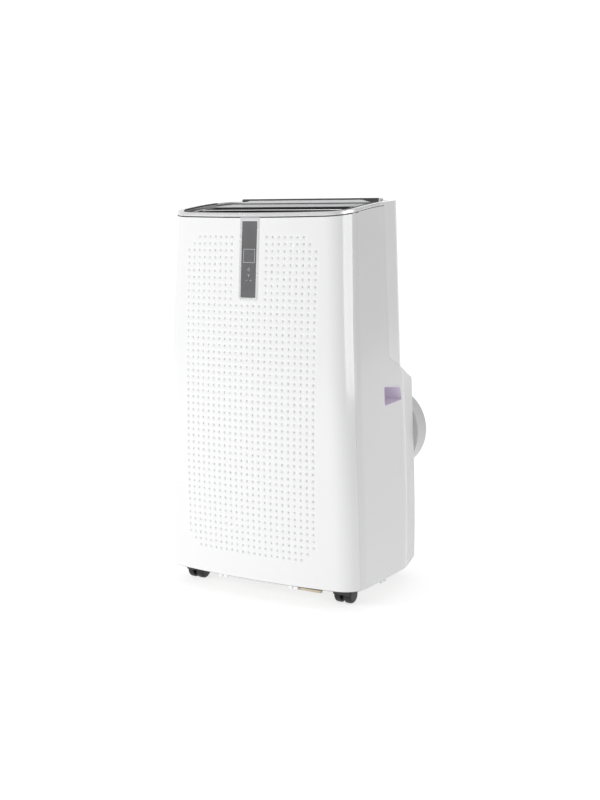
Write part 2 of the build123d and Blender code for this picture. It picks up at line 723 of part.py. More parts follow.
with BuildPart() as upper_filter_frame:
    add(filter_pane(-FILTER_X, FILTER_X, FILTER_Y0, FILTER_Y1, FILTER_Z0, GRIP_Z0 + 2,
                    FRAME_BORDER, 4, 3).part)
    with Locations((0, SLOT_Y + 0.15, (GRIP_Z0 + GRIP_Z1) / 2)):
        Box(2 * GRIP_X, GRIP_D, GRIP_Z1 - GRIP_Z0)
    fillet(upper_filter_frame.edges().group_by(Axis.Z)[-1], GRIP_R)
save(upper_filter_frame, "upper_filter_frame")

with BuildPart() as upper_filter_mesh:
    with Locations((0, (FILTER_Y0 + FILTER_Y1) / 2, (FILTER_Z0 + GRIP_Z0) / 2)):
        Box(2 * FILTER_X - 20, NET_T, GRIP_Z0 - FILTER_Z0 - 20)
    add(upper_filter_frame.part, mode=Mode.SUBTRACT)
save(upper_filter_mesh, "upper_filter_mesh")

# ---------------------------------------------------------------- air outlet
VANE_XS = (-112.0, -56.0, 0.0, 56.0, 112.0)
VANE_Z = 668.0
VANE_R = 1.5
VANE_T = 1.6
VANE_H = 17.0
TAB_D = 4.0
VANE_Y0 = CHUTE_Y0 + 1.0
VANE_Y1 = CHUTE_Y1 - 1.0
TAB_Y = -95.0
PIN_DROP = 12.0
PIN_R = 1.2
LOUVRE_Y = -88.0
LOUVRE_PIVOT_Z = 686.0
BLADE_Z = 696.4
BLADE_HALF_CHORD = 13.0
BLADE_HALF_T = 1.15
BLADE_TILT = 1.0
LOUVRE_PIN_R = 2.5
LOUVRE_X = 147.0
ARM_T = 3.0
ARM_R = 4.5
MOTOR_PIN_X = 163.0       # end of the louvre's pin inside its motor



def outlet_ring(length, depth, corner, lift):
    """Ring round the outlet, from the flange under the deck up to the top seam plus lift."""
    with BuildPart() as ring:
        with BuildSketch(Plane.XY.offset(CHUTE_Z0)):
            with Locations((0, (OUTLET_Y0 + OUTLET_Y1) / 2)):
                RectangleRounded(length, depth, corner)
                RectangleRounded(2 * OUTLET_X - 2 * LIP_W, OUTLET_Y1 - OUTLET_Y0 - 2 * LIP_W,
                                 OUTLET_R - LIP_W, mode=Mode.SUBTRACT)
        extrude(amount=90)
        add(under_top(FAR_FRONT - 20, 60, 500, lift), mode=Mode.INTERSECT)
        add(under_top(FAR_FRONT - 20, 80, 400, DECK_LIFT - DECK_T - LIP_T), mode=Mode.SUBTRACT)
    return ring.part


with BuildPart() as outlet_chute:
    with Locations((0, (CHUTE_Y0 + CHUTE_Y1) / 2, CHUTE_Z0)):
        Box(2 * (CHUTE_X + PLATE), CHUTE_Y1 - CHUTE_Y0 + 2 * PLATE, 80,
            align=(Align.CENTER, Align.CENTER, Align.MIN))
    with Locations((0, (CHUTE_Y0 + CHUTE_Y1) / 2, CHUTE_Z0 + PLATE)):
        Box(2 * CHUTE_X, CHUTE_Y1 - CHUTE_Y0, 90,
            align=(Align.CENTER, Align.CENTER, Align.MIN), mode=Mode.SUBTRACT)
    with Locations(((NECK_X0 + NECK_X1) / 2, (FAN_CASE_Y0 + FAN_CASE_Y1) / 2, CHUTE_Z0)):
        Box(NECK_X1 - NECK_X0 - 2 * PLATE, FAN_CASE_Y1 - FAN_CASE_Y0 - 2 * PLATE, 20, mode=Mode.SUBTRACT)
    with Locations(*[along_y(x, (CHUTE_Y0 + CHUTE_Y1) / 2, VANE_Z) for x in VANE_XS]):
        Cylinder(VANE_R + FIT, 120, mode=Mode.SUBTRACT)
    with Locations(Location((0, LOUVRE_Y, LOUVRE_PIVOT_Z), (0, 90, 0))):
        Cylinder(LOUVRE_PIN_R + FIT, 400, mode=Mode.SUBTRACT)
    add(under_top(FAR_FRONT - 20, 60, 500, DECK_LIFT - DECK_T), mode=Mode.INTERSECT)
    add(outlet_ring(2 * CHUTE_X, CHUTE_Y1 - CHUTE_Y0, 1, DECK_LIFT - DECK_T))
    add(outlet_ring(2 * OUTLET_X - 0.4, OUTLET_Y1 - OUTLET_Y0 - 0.4, OUTLET_R, DECK_LIFT + 0.3))
save(outlet_chute, "outlet_chute")

for number, x in enumerate(VANE_XS, start=1):
    with BuildPart() as vane:
        with Locations((x, (VANE_Y0 + VANE_Y1) / 2, VANE_Z)):
            Box(VANE_T, VANE_Y1 - VANE_Y0, VANE_H)
        with Locations((x, TAB_Y, VANE_Z)):
            Box(VANE_T, TAB_D, PIN_DROP, align=(Align.CENTER, Align.CENTER, Align.MAX))
        with Locations(along_y(x, TAB_Y, VANE_Z - PIN_DROP)):
            Cylinder(PIN_R, TAB_D)
        with Locations(along_y(x, (CHUTE_Y0 + CHUTE_Y1) / 2, VANE_Z)):
            Cylinder(VANE_R, CHUTE_Y1 - CHUTE_Y0 + 2 * PLATE - 1)
    save(vane, f"air_vane_{number}")

# Each vane's pin stands between two fingers of the link.
LINK_L = 260.0
LINK_H = 3.0
FINGER_X = 2.6
FINGER_W = 1.8
FINGER_H = 6.0
with BuildPart() as vane_link:
    with Locations((0, TAB_Y, VANE_Z - PIN_DROP - 4)):
        Box(LINK_L, TAB_D, LINK_H)
    for x in VANE_XS:
        for s in (-1, 1):
            with Locations((x + s * FINGER_X, TAB_Y, VANE_Z - PIN_DROP - 1)):
                Box(FINGER_W, TAB_D, FINGER_H)
save(vane_link, "vane_link")

with BuildPart() as louvre:
    with BuildSketch(Plane.YZ.offset(-LOUVRE_X)):
        with Locations(Location((LOUVRE_Y, BLADE_Z), BLADE_TILT)):
            Ellipse(BLADE_HALF_CHORD, BLADE_HALF_T)
    extrude(amount=2 * LOUVRE_X)
    for s in (-1, 1):
        with BuildSketch(Plane.YZ.offset(s * (LOUVRE_X - ARM_T / 2) - ARM_T / 2)):
            with BuildLine():
                Polyline((LOUVRE_Y - 8, BLADE_Z - 0.8), (LOUVRE_Y - ARM_R, LOUVRE_PIVOT_Z),
                         (LOUVRE_Y + ARM_R, LOUVRE_PIVOT_Z), (LOUVRE_Y + 8, BLADE_Z + 0.7), close=True)
            make_face()
            with Locations((LOUVRE_Y, LOUVRE_PIVOT_Z)):
                Circle(ARM_R)
        extrude(amount=ARM_T)
        pin_end = MOTOR_PIN_X if s > 0 else CHUTE_X + PLATE
        with Locations(Location((s * (LOUVRE_X - 1), LOUVRE_Y, LOUVRE_PIVOT_Z), (0, s * 90, 0))):
            Cylinder(LOUVRE_PIN_R, pin_end - LOUVRE_X + 1, align=(Align.CENTER, Align.CENTER, Align.MIN))
save(louvre, "louvre_blade")

with BuildPart() as louvre_motor:
    with Locations((CHUTE_X + PLATE + 0.3, LOUVRE_Y, LOUVRE_PIVOT_Z - 8)):
        Box(12, 26, 26, align=(Align.MIN, Align.CENTER, Align.CENTER))
    with Locations(Location((160, LOUVRE_Y, LOUVRE_PIVOT_Z), (0, 90, 0))):
        Cylinder(LOUVRE_PIN_R + FIT, 8, mode=Mode.SUBTRACT)
save(louvre_motor, "louvre_motor")

# ---------------------------------------------------------------- hot side
DRUM_Y0 = 14.0
DRUM_Y1 = 72.0
DRUM_CASE_Y0 = 8.0
DRUM_CASE_Y1 = 80.0
DUCT_X0 = 20.0
DUCT_X1 = 178.0
DUCT_Y0 = 14.0
DUCT_Y1 = 118.0
DUCT_Z0 = 196.0
DUCT_Z1 = 351.0
NECK_Z0 = 222.0
NECK_Z1 = DRUM_Z + DRUM_CASE_R

save(squirrel_cage(DRUM_X, DRUM_Z, DRUM_Y0, DRUM_Y1, DRUM_R, 22, -8), "hot_blower_wheel")
save(motor(DRUM_X, DRUM_Z, -44, DRUM_CASE_Y0, 42), "hot_blower_motor")

with BuildPart() as hot_scroll:
    with BuildSketch(Plane.XZ.offset(-DRUM_CASE_Y0)):
        with Locations((DRUM_X, DRUM_Z)):
            Circle(DRUM_CASE_R)
        with Locations((DRUM_X, (NECK_Z0 + NECK_Z1) / 2)):
            Rectangle(DUCT_X0 - DRUM_X, NECK_Z1 - NECK_Z0, align=(Align.MIN, Align.CENTER))
    extrude(amount=-(DRUM_CASE_Y1 - DRUM_CASE_Y0))
    with Locations((DRUM_X, (DRUM_CASE_Y0 + DRUM_CASE_Y1) / 2, BASE_FLOOR)):
        Box(100, DRUM_CASE_Y1 - DRUM_CASE_Y0, 90, align=(Align.CENTER, Align.CENTER, Align.MIN))
    with BuildSketch(Plane.XZ.offset(-DRUM_CASE_Y0 - PLATE)):
        with Locations((DRUM_X, DRUM_Z)):
            Circle(DRUM_CASE_R - PLATE)
        with Locations((DRUM_X, (NECK_Z0 + NECK_Z1) / 2)):
            Rectangle(200, NECK_Z1 - NECK_Z0 - 2 * PLATE, align=(Align.MIN, Align.CENTER))
    extrude(amount=-(DRUM_CASE_Y1 - DRUM_CASE_Y0 - 2 * PLATE), mode=Mode.SUBTRACT)
    with Locations(along_y(DRUM_X, DRUM_CASE_Y1, DRUM_Z)):
        Cylinder(56, 12, mode=Mode.SUBTRACT)
    with Locations(along_y(DRUM_X, DRUM_CASE_Y0, DRUM_Z)):
        Cylinder(8, 12, mode=Mode.SUBTRACT)
save(hot_scroll, "hot_blower_housing")

with BuildPart() as exhaust_duct:
    with Locations(((DUCT_X0 + DUCT_X1) / 2, (DUCT_Y0 + DUCT_Y1) / 2, (DUCT_Z0 + DUCT_Z1) / 2)):
        Box(DUCT_X1 - DUCT_X0, DUCT_Y1 - DUCT_Y0, DUCT_Z1 - DUCT_Z0)
    fillet(exhaust_duct.edges().filter_by(Axis.Z), 8)
    offset(amount=-PLATE, mode=Mode.SUBTRACT)
    with Locations((DUCT_X0, (DUCT_Y0 + 77) / 2 + 3, (NECK_Z0 + NECK_Z1) / 2)):
        Box(20, 55, NECK_Z1 - NECK_Z0 - 2 * PLATE, mode=Mode.SUBTRACT)
    with Locations(along_y(HUB_X, DUCT_Y1, HUB_Z)):
        Cylinder(COLLAR_BORE_R, 20, mode=Mode.SUBTRACT)
save(exhaust_duct, "exhaust_duct")

FLANGE_R = 85.0
with BuildPart() as exhaust_collar:
    with Locations(along_y(HUB_X, (DUCT_Y1 + 152) / 2, HUB_Z)):
        Cylinder(COLLAR_R, 152 - DUCT_Y1)
    with Locations(along_y(HUB_X, REAR_Y + 1.5, HUB_Z)):
        Cylinder(FLANGE_R, 3)
    with Locations(along_y(HUB_X, (DUCT_Y1 + 152) / 2, HUB_Z)):
        Cylinder(COLLAR_BORE_R, 60, mode=Mode.SUBTRACT)
save(exhaust_collar, "exhaust_collar")

ADAPTER_Y0 = 139.0
STOP_Y0 = 153.0
with BuildPart() as hose_adapter:
    with Locations(along_y(HUB_X, (ADAPTER_Y0 + HOSE_END_Y) / 2, HUB_Z)):
        Cylinder(HUB_R, HOSE_END_Y - ADAPTER_Y0)
    with Locations(along_y(HUB_X, ADAPTER_Y0 + 2, HUB_Z)):
        Cylinder(HUB_R + 2, 4)
    with Locations(along_y(HUB_X, (ADAPTER_Y0 + HOSE_END_Y) / 2, HUB_Z)):
        Cylinder(HUB_BORE_R, 60, mode=Mode.SUBTRACT)
    with Locations(along_y(HUB_X, STOP_Y0 + 1, HUB_Z)):
        Cylinder(HUB_BORE_R + 0.5, 2)
    with Locations(along_y(HUB_X, STOP_Y0 + 1, HUB_Z)):
        Cylinder(COLLAR_BORE_R, 6, mode=Mode.SUBTRACT)
save(hose_adapter, "hose_adapter")

with BuildPart() as condenser:
    add(coil(-170, -14, 86, 118, 62, 334, 6, 14).part)
    with Locations((-120, 94, BASE_FLOOR), (-36, 94, BASE_FLOOR)):
        Box(16, 16, 62 - BASE_FLOOR, align=(Align.CENTER, Align.CENTER, Align.MIN))
save(condenser, "condenser")

with BuildPart() as lower_cover:
    add(filter_pane(COVER_X0 + CLEAR, COVER_X1 - CLEAR, REAR_Y - 3, REAR_Y + 1.5,
                    COVER_Z0 + CLEAR, COVER_Z1 - CLEAR, 12, 2, 24).part)
    with Locations((COVER_X, REAR_Y + 3, COVER_Z1 - 6)):
        Box(46, 5, 7)
save(lower_cover, "lower_intake_cover")

with BuildPart() as lower_mesh:
    with Locations((COVER_X, REAR_Y - 4.4, COVER_Z)):
        Box(COVER_W - 12, 2.6, COVER_H - 12)
save(lower_mesh, "lower_filter_mesh")

COMP_X = 106.0
COMP_Y = -68.0
COMP_R = 56.0
COMP_Z0 = 58.0
with BuildPart() as compressor:
    with Locations((COMP_X, COMP_Y, COMP_Z0)):
        Cylinder(COMP_R, 196, align=(Align.CENTER, Align.CENTER, Align.MIN))
    fillet(compressor.edges().filter_by(GeomType.CIRCLE), 22)
    with Locations((COMP_X, COMP_Y, COMP_Z0 - 6)):
        with PolarLocations(0, 3, start_angle=30):
            Box(82, 24, 5, align=(Align.MIN, Align.CENTER, Align.MIN))
        Cylinder(34, 12, align=(Align.CENTER, Align.CENTER, Align.MIN))
    with Locations((COMP_X, COMP_Y, COMP_Z0 - 6)):
        with PolarLocations(70, 3, start_angle=30):
            Cylinder(5, 30, mode=Mode.SUBTRACT)
    with Locations((COMP_X, COMP_Y, 252)):
        Cylinder(7, 10, align=(Align.CENTER, Align.CENTER, Align.MIN))
save(compressor, "compressor")

with BuildPart() as compressor_mounts:
    with Locations((COMP_X, COMP_Y, BASE_FLOOR)):
        with PolarLocations(70, 3, start_angle=30):
            Cylinder(12, COMP_Z0 - 6 - BASE_FLOOR, align=(Align.CENTER, Align.CENTER, Align.MIN))
            Cylinder(4.9, COMP_Z0 - BASE_FLOOR, align=(Align.CENTER, Align.CENTER, Align.MIN))
save(compressor_mounts, "compressor_mounts")

TANK_X = 14.0
TANK_Y = -66.0
with BuildPart() as accumulator:
    with Locations((TANK_X, TANK_Y, 90)):
        Cylinder(22, 130, align=(Align.CENTER, Align.CENTER, Align.MIN))
    fillet(accumulator.edges().filter_by(GeomType.CIRCLE), 12)
    with Locations((TANK_X + 27, TANK_Y, 155)):
        Box(18, 16, 12)
    with Locations((TANK_X, TANK_Y, BASE_FLOOR)):
        Cylinder(5, 54, align=(Align.CENTER, Align.CENTER, Align.MIN))
        Cylinder(14, 4, align=(Align.CENTER, Align.CENTER, Align.MIN))
save(accumulator, "accumulator")


def pipe(points, bend, radius):
    """Copper tube along straight runs joined by equal bends."""
    with BuildPart() as tube_run:
        with BuildLine() as route:
            FilletPolyline(*points, radius=bend)
        with BuildSketch(Plane(origin=points[0], z_dir=route.wire() % 0)):
            Circle(radius)
        sweep(path=route.wire())
    return tube_run


with BuildPart() as refrigerant_pipes:
    add(pipe([(TANK_X, TANK_Y, 220), (TANK_X, TANK_Y, 320), (158, TANK_Y, 320), (158, -20, 320),
              (158, -20, 640), (158, HEADER_Y, 640)], 14, 5).part)
    add(evaporator.part, mode=Mode.SUBTRACT)
    add(pipe([(COMP_X, COMP_Y, 262), (COMP_X, COMP_Y, 366), (-20, COMP_Y, 366), (-20, 102, 366),
              (-20, 102, 334)], 14, 4).part)
save(refrigerant_pipes, "refrigerant_pipes")

# ---------------------------------------------------------------- controls, drain, small parts
with BuildPart() as control_box:
    with Locations((-150, -95, 430)):
        Box(44, 70, 150, align=(Align.CENTER, Align.CENTER, Align.MIN))
    with Locations((-150, -95, DIVIDER_Z + DIVIDER_T)):
        Box(30, 30, 40, align=(Align.CENTER, Align.CENTER, Align.MIN))
    with Locations((-150, -95, 580)):
        Cylinder(17, 52, align=(Align.CENTER, Align.CENTER, Align.MIN))
save(control_box, "control_box")

with BuildPart() as drain_spout:
    with Locations(along_y(DRAIN_X, (REAR_Y - 12 + REAR_Y + 12) / 2, DRAIN_Z)):
        Cylinder(SPOUT_R - 0.2, 24)
    with Locations(along_y(DRAIN_X, REAR_Y - 4, DRAIN_Z)):
        Cylinder(13, 2)
    with Locations(along_y(DRAIN_X, REAR_Y, DRAIN_Z)):
        Cylinder(6.0, 60, mode=Mode.SUBTRACT)
save(drain_spout, "drain_spout")

with BuildPart() as drain_plug:
    with Locations(along_y(DRAIN_X, REAR_Y + 14.5, DRAIN_Z)):
        Cylinder(11, 4)
    with Locations(along_y(DRAIN_X, REAR_Y + 8, DRAIN_Z)):
        Cylinder(5.9, 12)
    fillet(drain_plug.edges().group_by(Axis.Y)[-1], 1.2)
    with Locations((DRAIN_X, REAR_Y + 16, DRAIN_Z - 13)):
        Box(8, 2.5, 10)
save(drain_plug, "drain_plug")

CORD_R = 4.2
with BuildPart() as cord_gland:
    with Locations(along_y(GLAND_X, REAR_Y, GLAND_Z)):
        Cylinder(GLAND_R - 0.1, 16)
    with Locations(along_y(GLAND_X, REAR_Y + 1.5, GLAND_Z)):
        Cylinder(13, 3)
    with Locations(along_y(GLAND_X, REAR_Y, GLAND_Z)):
        Cylinder(CORD_R, 40, mode=Mode.SUBTRACT)
save(cord_gland, "cord_gland")

FLOAT_X = -120.0
FLOAT_Y = -110.0
with BuildPart() as float_stem:
    with Locations((FLOAT_X, FLOAT_Y, BASE_FLOOR)):
        Cylinder(10, 3, align=(Align.CENTER, Align.CENTER, Align.MIN))
        Cylinder(3, 34, align=(Align.CENTER, Align.CENTER, Align.MIN))
    with Locations((FLOAT_X, FLOAT_Y, BASE_FLOOR + 32)):
        Cylinder(6, 3, align=(Align.CENTER, Align.CENTER, Align.MIN))
save(float_stem, "float_stem")

with BuildPart() as level_float:
    with Locations((FLOAT_X, FLOAT_Y, BASE_FLOOR + 3.1)):
        Cylinder(12, 14, align=(Align.CENTER, Align.CENTER, Align.MIN))
    fillet(level_float.edges().filter_by(GeomType.CIRCLE), 2)
    with Locations((FLOAT_X, FLOAT_Y, BASE_FLOOR)):
        Cylinder(3 + FIT, 60, mode=Mode.SUBTRACT)
save(level_float, "level_float")

with BuildPart() as panel_screws:
    for x, z in ((-172, 60), (-4, 60), (172, 60), (5, 350), (172, 176), (10, 176)):
        with Locations(along_y(x, REAR_Y + 0.8, z)):
            Cylinder(4, 1.6)
        with Locations((x, REAR_Y + 1.6, z)):
            Box(5, 1.4, 1, mode=Mode.SUBTRACT)
            Box(1, 1.4, 5, mode=Mode.SUBTRACT)
save(panel_screws, "panel_screws")
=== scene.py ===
"""Looks of the portable air conditioner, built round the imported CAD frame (metres)."""
import bpy
import bmesh
import json
import math
from mathutils import Matrix, Vector


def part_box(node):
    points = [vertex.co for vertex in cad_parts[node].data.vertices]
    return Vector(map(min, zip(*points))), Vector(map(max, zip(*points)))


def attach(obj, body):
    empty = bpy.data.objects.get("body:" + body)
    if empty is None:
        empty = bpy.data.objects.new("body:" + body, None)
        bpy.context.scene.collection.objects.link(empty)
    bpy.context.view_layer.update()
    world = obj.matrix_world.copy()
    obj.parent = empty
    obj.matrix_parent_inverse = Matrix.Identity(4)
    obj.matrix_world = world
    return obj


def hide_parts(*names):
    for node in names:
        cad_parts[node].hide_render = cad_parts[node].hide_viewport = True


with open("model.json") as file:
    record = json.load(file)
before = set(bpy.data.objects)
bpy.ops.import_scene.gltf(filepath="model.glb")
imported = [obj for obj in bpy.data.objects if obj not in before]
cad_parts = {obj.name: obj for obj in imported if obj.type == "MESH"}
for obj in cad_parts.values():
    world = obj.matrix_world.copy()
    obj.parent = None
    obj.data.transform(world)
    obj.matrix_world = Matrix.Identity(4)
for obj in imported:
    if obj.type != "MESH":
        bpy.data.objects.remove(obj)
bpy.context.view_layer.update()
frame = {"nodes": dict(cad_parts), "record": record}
NODES = frame["nodes"]


# ---------------------------------------------------------------- material helpers
class Nodes:
    """Short-hand for building one material's node tree."""

    def __init__(self, name):
        self.material = bpy.data.materials.new(name)
        self.material.use_nodes = True
        self.tree = self.material.node_tree
        self.shader = self.tree.nodes["Principled BSDF"]
        coords = self.tree.nodes.new("ShaderNodeTexCoord")
        self.place = coords.outputs["Object"]

    def add(self, kind, inputs=None, **values):
        node = self.tree.nodes.new(kind)
        for key, value in values.items():
            setattr(node, key, value)
        for key, value in (inputs or {}).items():
            if isinstance(value, bpy.types.NodeSocket):
                self.tree.links.new(value, node.inputs[key])
            else:
                node.inputs[key].default_value = value
        return node

    def noise(self, scale, detail=3.0, rough=0.55):
        node = self.add("ShaderNodeTexNoise", {"Vector": self.place, "Scale": scale, "Detail": detail,
                                               "Roughness": rough})
        return node.outputs["Fac"]

    def remap(self, value, low, high, from_low=0.0, from_high=1.0):
        node = self.add("ShaderNodeMapRange", {"Value": value, "From Min": from_low,
                                               "From Max": from_high, "To Min": low, "To Max": high})
        return node.outputs["Result"]

    def math(self, operation, a, b=0.0):
        node = self.add("ShaderNodeMath", {0: a, 1: b}, operation=operation)
        return node.outputs["Value"]

    def mix(self, factor, a, b):
        node = self.add("ShaderNodeMix", {"Factor": factor, "A": a, "B": b}, data_type="RGBA")
        for key, value in (("A", a), ("B", b)):
            sockets = [s for s in node.inputs if s.name == key and s.type == "RGBA"]
            if isinstance(value, bpy.types.NodeSocket):
                self.tree.links.new(value, sockets[0])
            else:
                sockets[0].default_value = value
        return [s for s in node.outputs if s.type == "RGBA"][0]

    def to_shader(self, socket, value):
        self.tree.links.new(value, self.shader.inputs[socket])

    def bump(self, height, strength, distance):
        node = self.add("ShaderNodeBump", {"Height": height, "Strength": strength, "Distance": distance})
        self.tree.links.new(node.outputs["Normal"], self.shader.inputs["Normal"])

    def edge(self, low=0.52, high=0.62):
        """Factor that rises on convex edges."""
        node = self.add("ShaderNodeNewGeometry")
        return self.remap(node.outputs["Pointiness"], 0.0, 1.0, low, high)


def rgb(value, alpha=1.0):
    return (value[0], value[1], value[2], alpha)


def moulded(name, colour, roughness, grain_scale=900.0, grain_depth=0.00002, coat=0.0, edge_lift=0.04,
            variation=0.015, spread=0.05):
    """Moulded plastic: slight tone drift, handling marks in the gloss, fine grain, paler edges."""
    n = Nodes(name)
    drift = n.noise(6.0, 2.0)
    darker = rgb([c * (1 - variation) for c in colour])
    lighter = rgb([min(1.0, c * (1 + variation)) for c in colour])
    base = n.mix(drift, darker, lighter)
    worn = rgb([min(1.0, c + edge_lift) for c in colour])
    base = n.mix(n.edge(), base, worn)
    n.to_shader("Base Color", base)
    smears = n.noise(22.0, 5.0, 0.6)
    n.to_shader("Roughness", n.remap(smears, roughness - spread, roughness + spread, 0.35, 0.65))
    n.bump(n.noise(grain_scale, 2.0), 0.35, grain_depth)
    if coat:
        n.shader.inputs["Coat Weight"].default_value = coat
        n.shader.inputs["Coat Roughness"].default_value = 0.06
    return n.material


def metal(name, colour, roughness, brushed=(1.0, 1.0, 30.0)):
    n = Nodes(name)
    stretch = n.add("ShaderNodeMapping", {"Vector": n.place, "Scale": brushed})
    lines = n.add("ShaderNodeTexNoise", {"Vector": stretch.outputs["Vector"], "Scale": 160.0,
                                         "Detail": 3.0})
    n.to_shader("Base Color", n.mix(n.noise(14.0), rgb([c * 0.9 for c in colour]), rgb(colour)))
    n.to_shader("Roughness", n.remap(lines.outputs["Fac"], roughness - 0.08, roughness + 0.1))
    n.shader.inputs["Metallic"].default_value = 1.0
    n.bump(lines.outputs["Fac"], 0.3, 0.00003)
    return n.material


def mesh_cloth(name, colour, pitch):
    """Filter net: threads crossing at a real pitch, with holes between them."""
    n = Nodes(name)
    sep = n.add("ShaderNodeSeparateXYZ", {"Vector": n.place})
    waves = []
    for axis in ("X", "Z"):
        turn = n.math("MULTIPLY", sep.outputs[axis], math.pi / pitch)
        waves.append(n.math("ABSOLUTE", n.math("SINE", turn)))
    thread = n.math("LESS_THAN", n.math("MINIMUM", waves[0], waves[1]), 0.5)
    n.to_shader("Base Color", n.mix(n.noise(60.0), rgb([c * 0.7 for c in colour]), rgb(colour)))
    n.to_shader("Roughness", n.remap(n.noise(300.0), 0.7, 0.95))
    n.to_shader("Alpha", thread)
    n.bump(n.math("MINIMUM", waves[0], waves[1]), 0.6, 0.0003)
    return n.material


WHITE = moulded("white_gloss", (0.86, 0.86, 0.865), 0.17, 1200.0, 0.000012, coat=0.35, edge_lift=0.02,
                variation=0.008, spread=0.03)
SILVER = moulded("silver_trim", (0.74, 0.74, 0.75), 0.26, 1000.0, 0.00001, coat=0.2)
SILVER.node_tree.nodes["Principled BSDF"].inputs["Metallic"].default_value = 0.25
DECK = moulded("deck_grey", (0.52, 0.52, 0.53), 0.42, 1500.0, 0.00004)
GLASS = moulded("display_glass", (0.13, 0.13, 0.134), 0.34, 1400.0, 0.000004, coat=0.1, edge_lift=0.02,
                spread=0.03)
CUP = moulded("cup_grey", (0.83, 0.77, 0.88), 0.32, 1500.0, 0.00003)
HUB = moulded("hub_grey", (0.65, 0.65, 0.66), 0.40, 1400.0, 0.00005)
BLACK = moulded("black_plastic", (0.006, 0.006, 0.0065), 0.48, 1300.0, 0.00006, edge_lift=0.03)
TYRE = moulded("caster_tyre", (0.007, 0.007, 0.0075), 0.42, 1300.0, 0.00008, edge_lift=0.03)
BASE = moulded("base_plastic", (0.22, 0.22, 0.21), 0.5, 1000.0, 0.00008)
TAN = moulded("tan_bar", (0.52, 0.44, 0.32), 0.6, 900.0, 0.0001, edge_lift=0.05)
RUBBER = moulded("rubber", (0.02, 0.02, 0.02), 0.75, 800.0, 0.0001)
BOARD = moulded("circuit_board", (0.03, 0.16, 0.07), 0.35)
NET = mesh_cloth("filter_mesh", (0.10, 0.10, 0.11), 0.0016)
STEEL = metal("sheet_steel", (0.62, 0.63, 0.64), 0.34)
FINS = metal("coil_alloy", (0.74, 0.75, 0.76), 0.38)
BLACK_STEEL = moulded("black_steel", (0.02, 0.02, 0.021), 0.35, 700.0, 0.00008)
COPPER = metal("copper", (0.80, 0.42, 0.26), 0.28)
# Painted shade and reflection: the dark colour of the thin lines at the rim, along the grip's top edge
# and at the grip's foot.
PAINTED_DARK = moulded("painted_dark", (0.055, 0.055, 0.057), 0.5, 1100.0, 0.00005, edge_lift=0.03)
MARK = moulded("display_mark", (0.62, 0.63, 0.64), 0.4, 1200.0, 0.00001, edge_lift=0.0)
# Painted shade: darker copies of the white plastic for the lower rear housing and the side panels,
# standing for the shade that falls there.
REAR_WHITE_PAINTED_SHADE = moulded("rear_white_painted_shade", (0.68, 0.68, 0.685), 0.34, 1200.0, 0.00002, coat=0.1, edge_lift=0.03,
                     variation=0.01, spread=0.04)
SIDE_WHITE_PAINTED_SHADE = moulded("side_white_painted_shade", (0.80, 0.80, 0.805), 0.20, 1200.0, 0.000014, coat=0.3, edge_lift=0.02,
                     variation=0.008, spread=0.03)

BY_SLOT = {"white_gloss": WHITE, "silver_trim": SILVER, "deck_grey": DECK, "display_glass": GLASS,
           "circuit_board": BOARD, "cup_grey": CUP, "hub_grey": HUB, "black_plastic": BLACK,
           "caster_tyre": TYRE, "filter_mesh": NET, "base_plastic": BASE, "tan_bar": TAN,
           "rubber": RUBBER, "sheet_steel": STEEL, "coil_alloy": FINS, "black_steel": BLACK_STEEL,
           "copper": COPPER}

# Nodes whose look differs from their slot's: two greyer whites, the slot's white drawn darker as painted
# shade on the side panels and the lower rear housing, and a white filter frame.
OWN_LOOK = {"rear_housing_lower": REAR_WHITE_PAINTED_SHADE, "upper_filter_frame": WHITE,
            "side_panel_left": SIDE_WHITE_PAINTED_SHADE, "side_panel_right": SIDE_WHITE_PAINTED_SHADE}

# How far each visible CAD node's edges are rounded, in metres.
EDGE_ROUND = {"top_rim": 0.0009, "top_deck": 0.0006, "display_bezel": 0.0005,
              "handle_cup_left": 0.0006, "handle_cup_right": 0.0006,
              "lower_intake_cover": 0.0005, "hose_adapter": 0.0007, "exhaust_collar": 0.0005}

# Large curved shells, shaded smooth only: a rounded edge would smudge their broad faces.
SMOOTH_SHELLS = ("side_panel_left", "side_panel_right", "rear_housing_upper", "rear_housing_lower")


def soften(node, width):
    """Weld the tessellation, round its sharp edges a little and shade it smooth."""
    piece = NODES[node]
    weld = piece.modifiers.new("weld", "WELD")
    weld.merge_threshold = 1e-6
    bevel = piece.modifiers.new("edges", "BEVEL")
    bevel.width = width
    bevel.segments = 2
    bevel.limit_method = "ANGLE"
    bevel.angle_limit = math.radians(34)
    bevel.harden_normals = True
    bevel.use_clamp_overlap = True
    for face in piece.data.polygons:
        face.use_smooth = True


def dress_cad_nodes():
    """Give each CAD node its slot's material, then soften the ones that show."""
    for part in frame["record"]["subparts"]:
        piece = NODES[part["node"]]
        piece.data.materials.clear()
        piece.data.materials.append(BY_SLOT[part["material_slot"]])
    for node, look in OWN_LOOK.items():
        NODES[node].data.materials[0] = look
    for node in SMOOTH_SHELLS:
        for face in NODES[node].data.polygons:
            face.use_smooth = True
    for node, width in EDGE_ROUND.items():
        soften(node, width)


# ---------------------------------------------------------------- the front panel
# The same outline as the CAD front: loft sections, side taper, bowed front and rounded corners.
SECTIONS = [0.036, 0.130, 0.250, 0.420, 0.570, 0.730]
TAPER_Z = 0.170
TAPER = 0.049
HALF_W = 0.210
FRONT_Y = -0.180
FRONT_FULL_Z = 0.297
FRONT_BOW_R = 5.2
FRONT_PLAN_R = 1.2
CORNER_R = 0.046
FRONT_SEAM_DEPTH = 0.03775
TOP_START = (-0.166, 0.6838)
TOP_RISE = 0.189
TOP_BEND = 0.004 / 0.012

# The block of round dimples, with a gap for the display at the top of its middle columns.
DOT_PITCH = 0.012
DOT_COLUMNS = 23
DOT_ROWS = 48
DOT_TOP_Z = 0.650
DOT_R = 0.0024
DOT_DEPTH = 0.0023
DOT_SIDES = 12
GAP_COLUMNS = 5
GAP_ROWS = 10


def section_width(z):
    return HALF_W - TAPER * max(0.0, z - TAPER_Z)


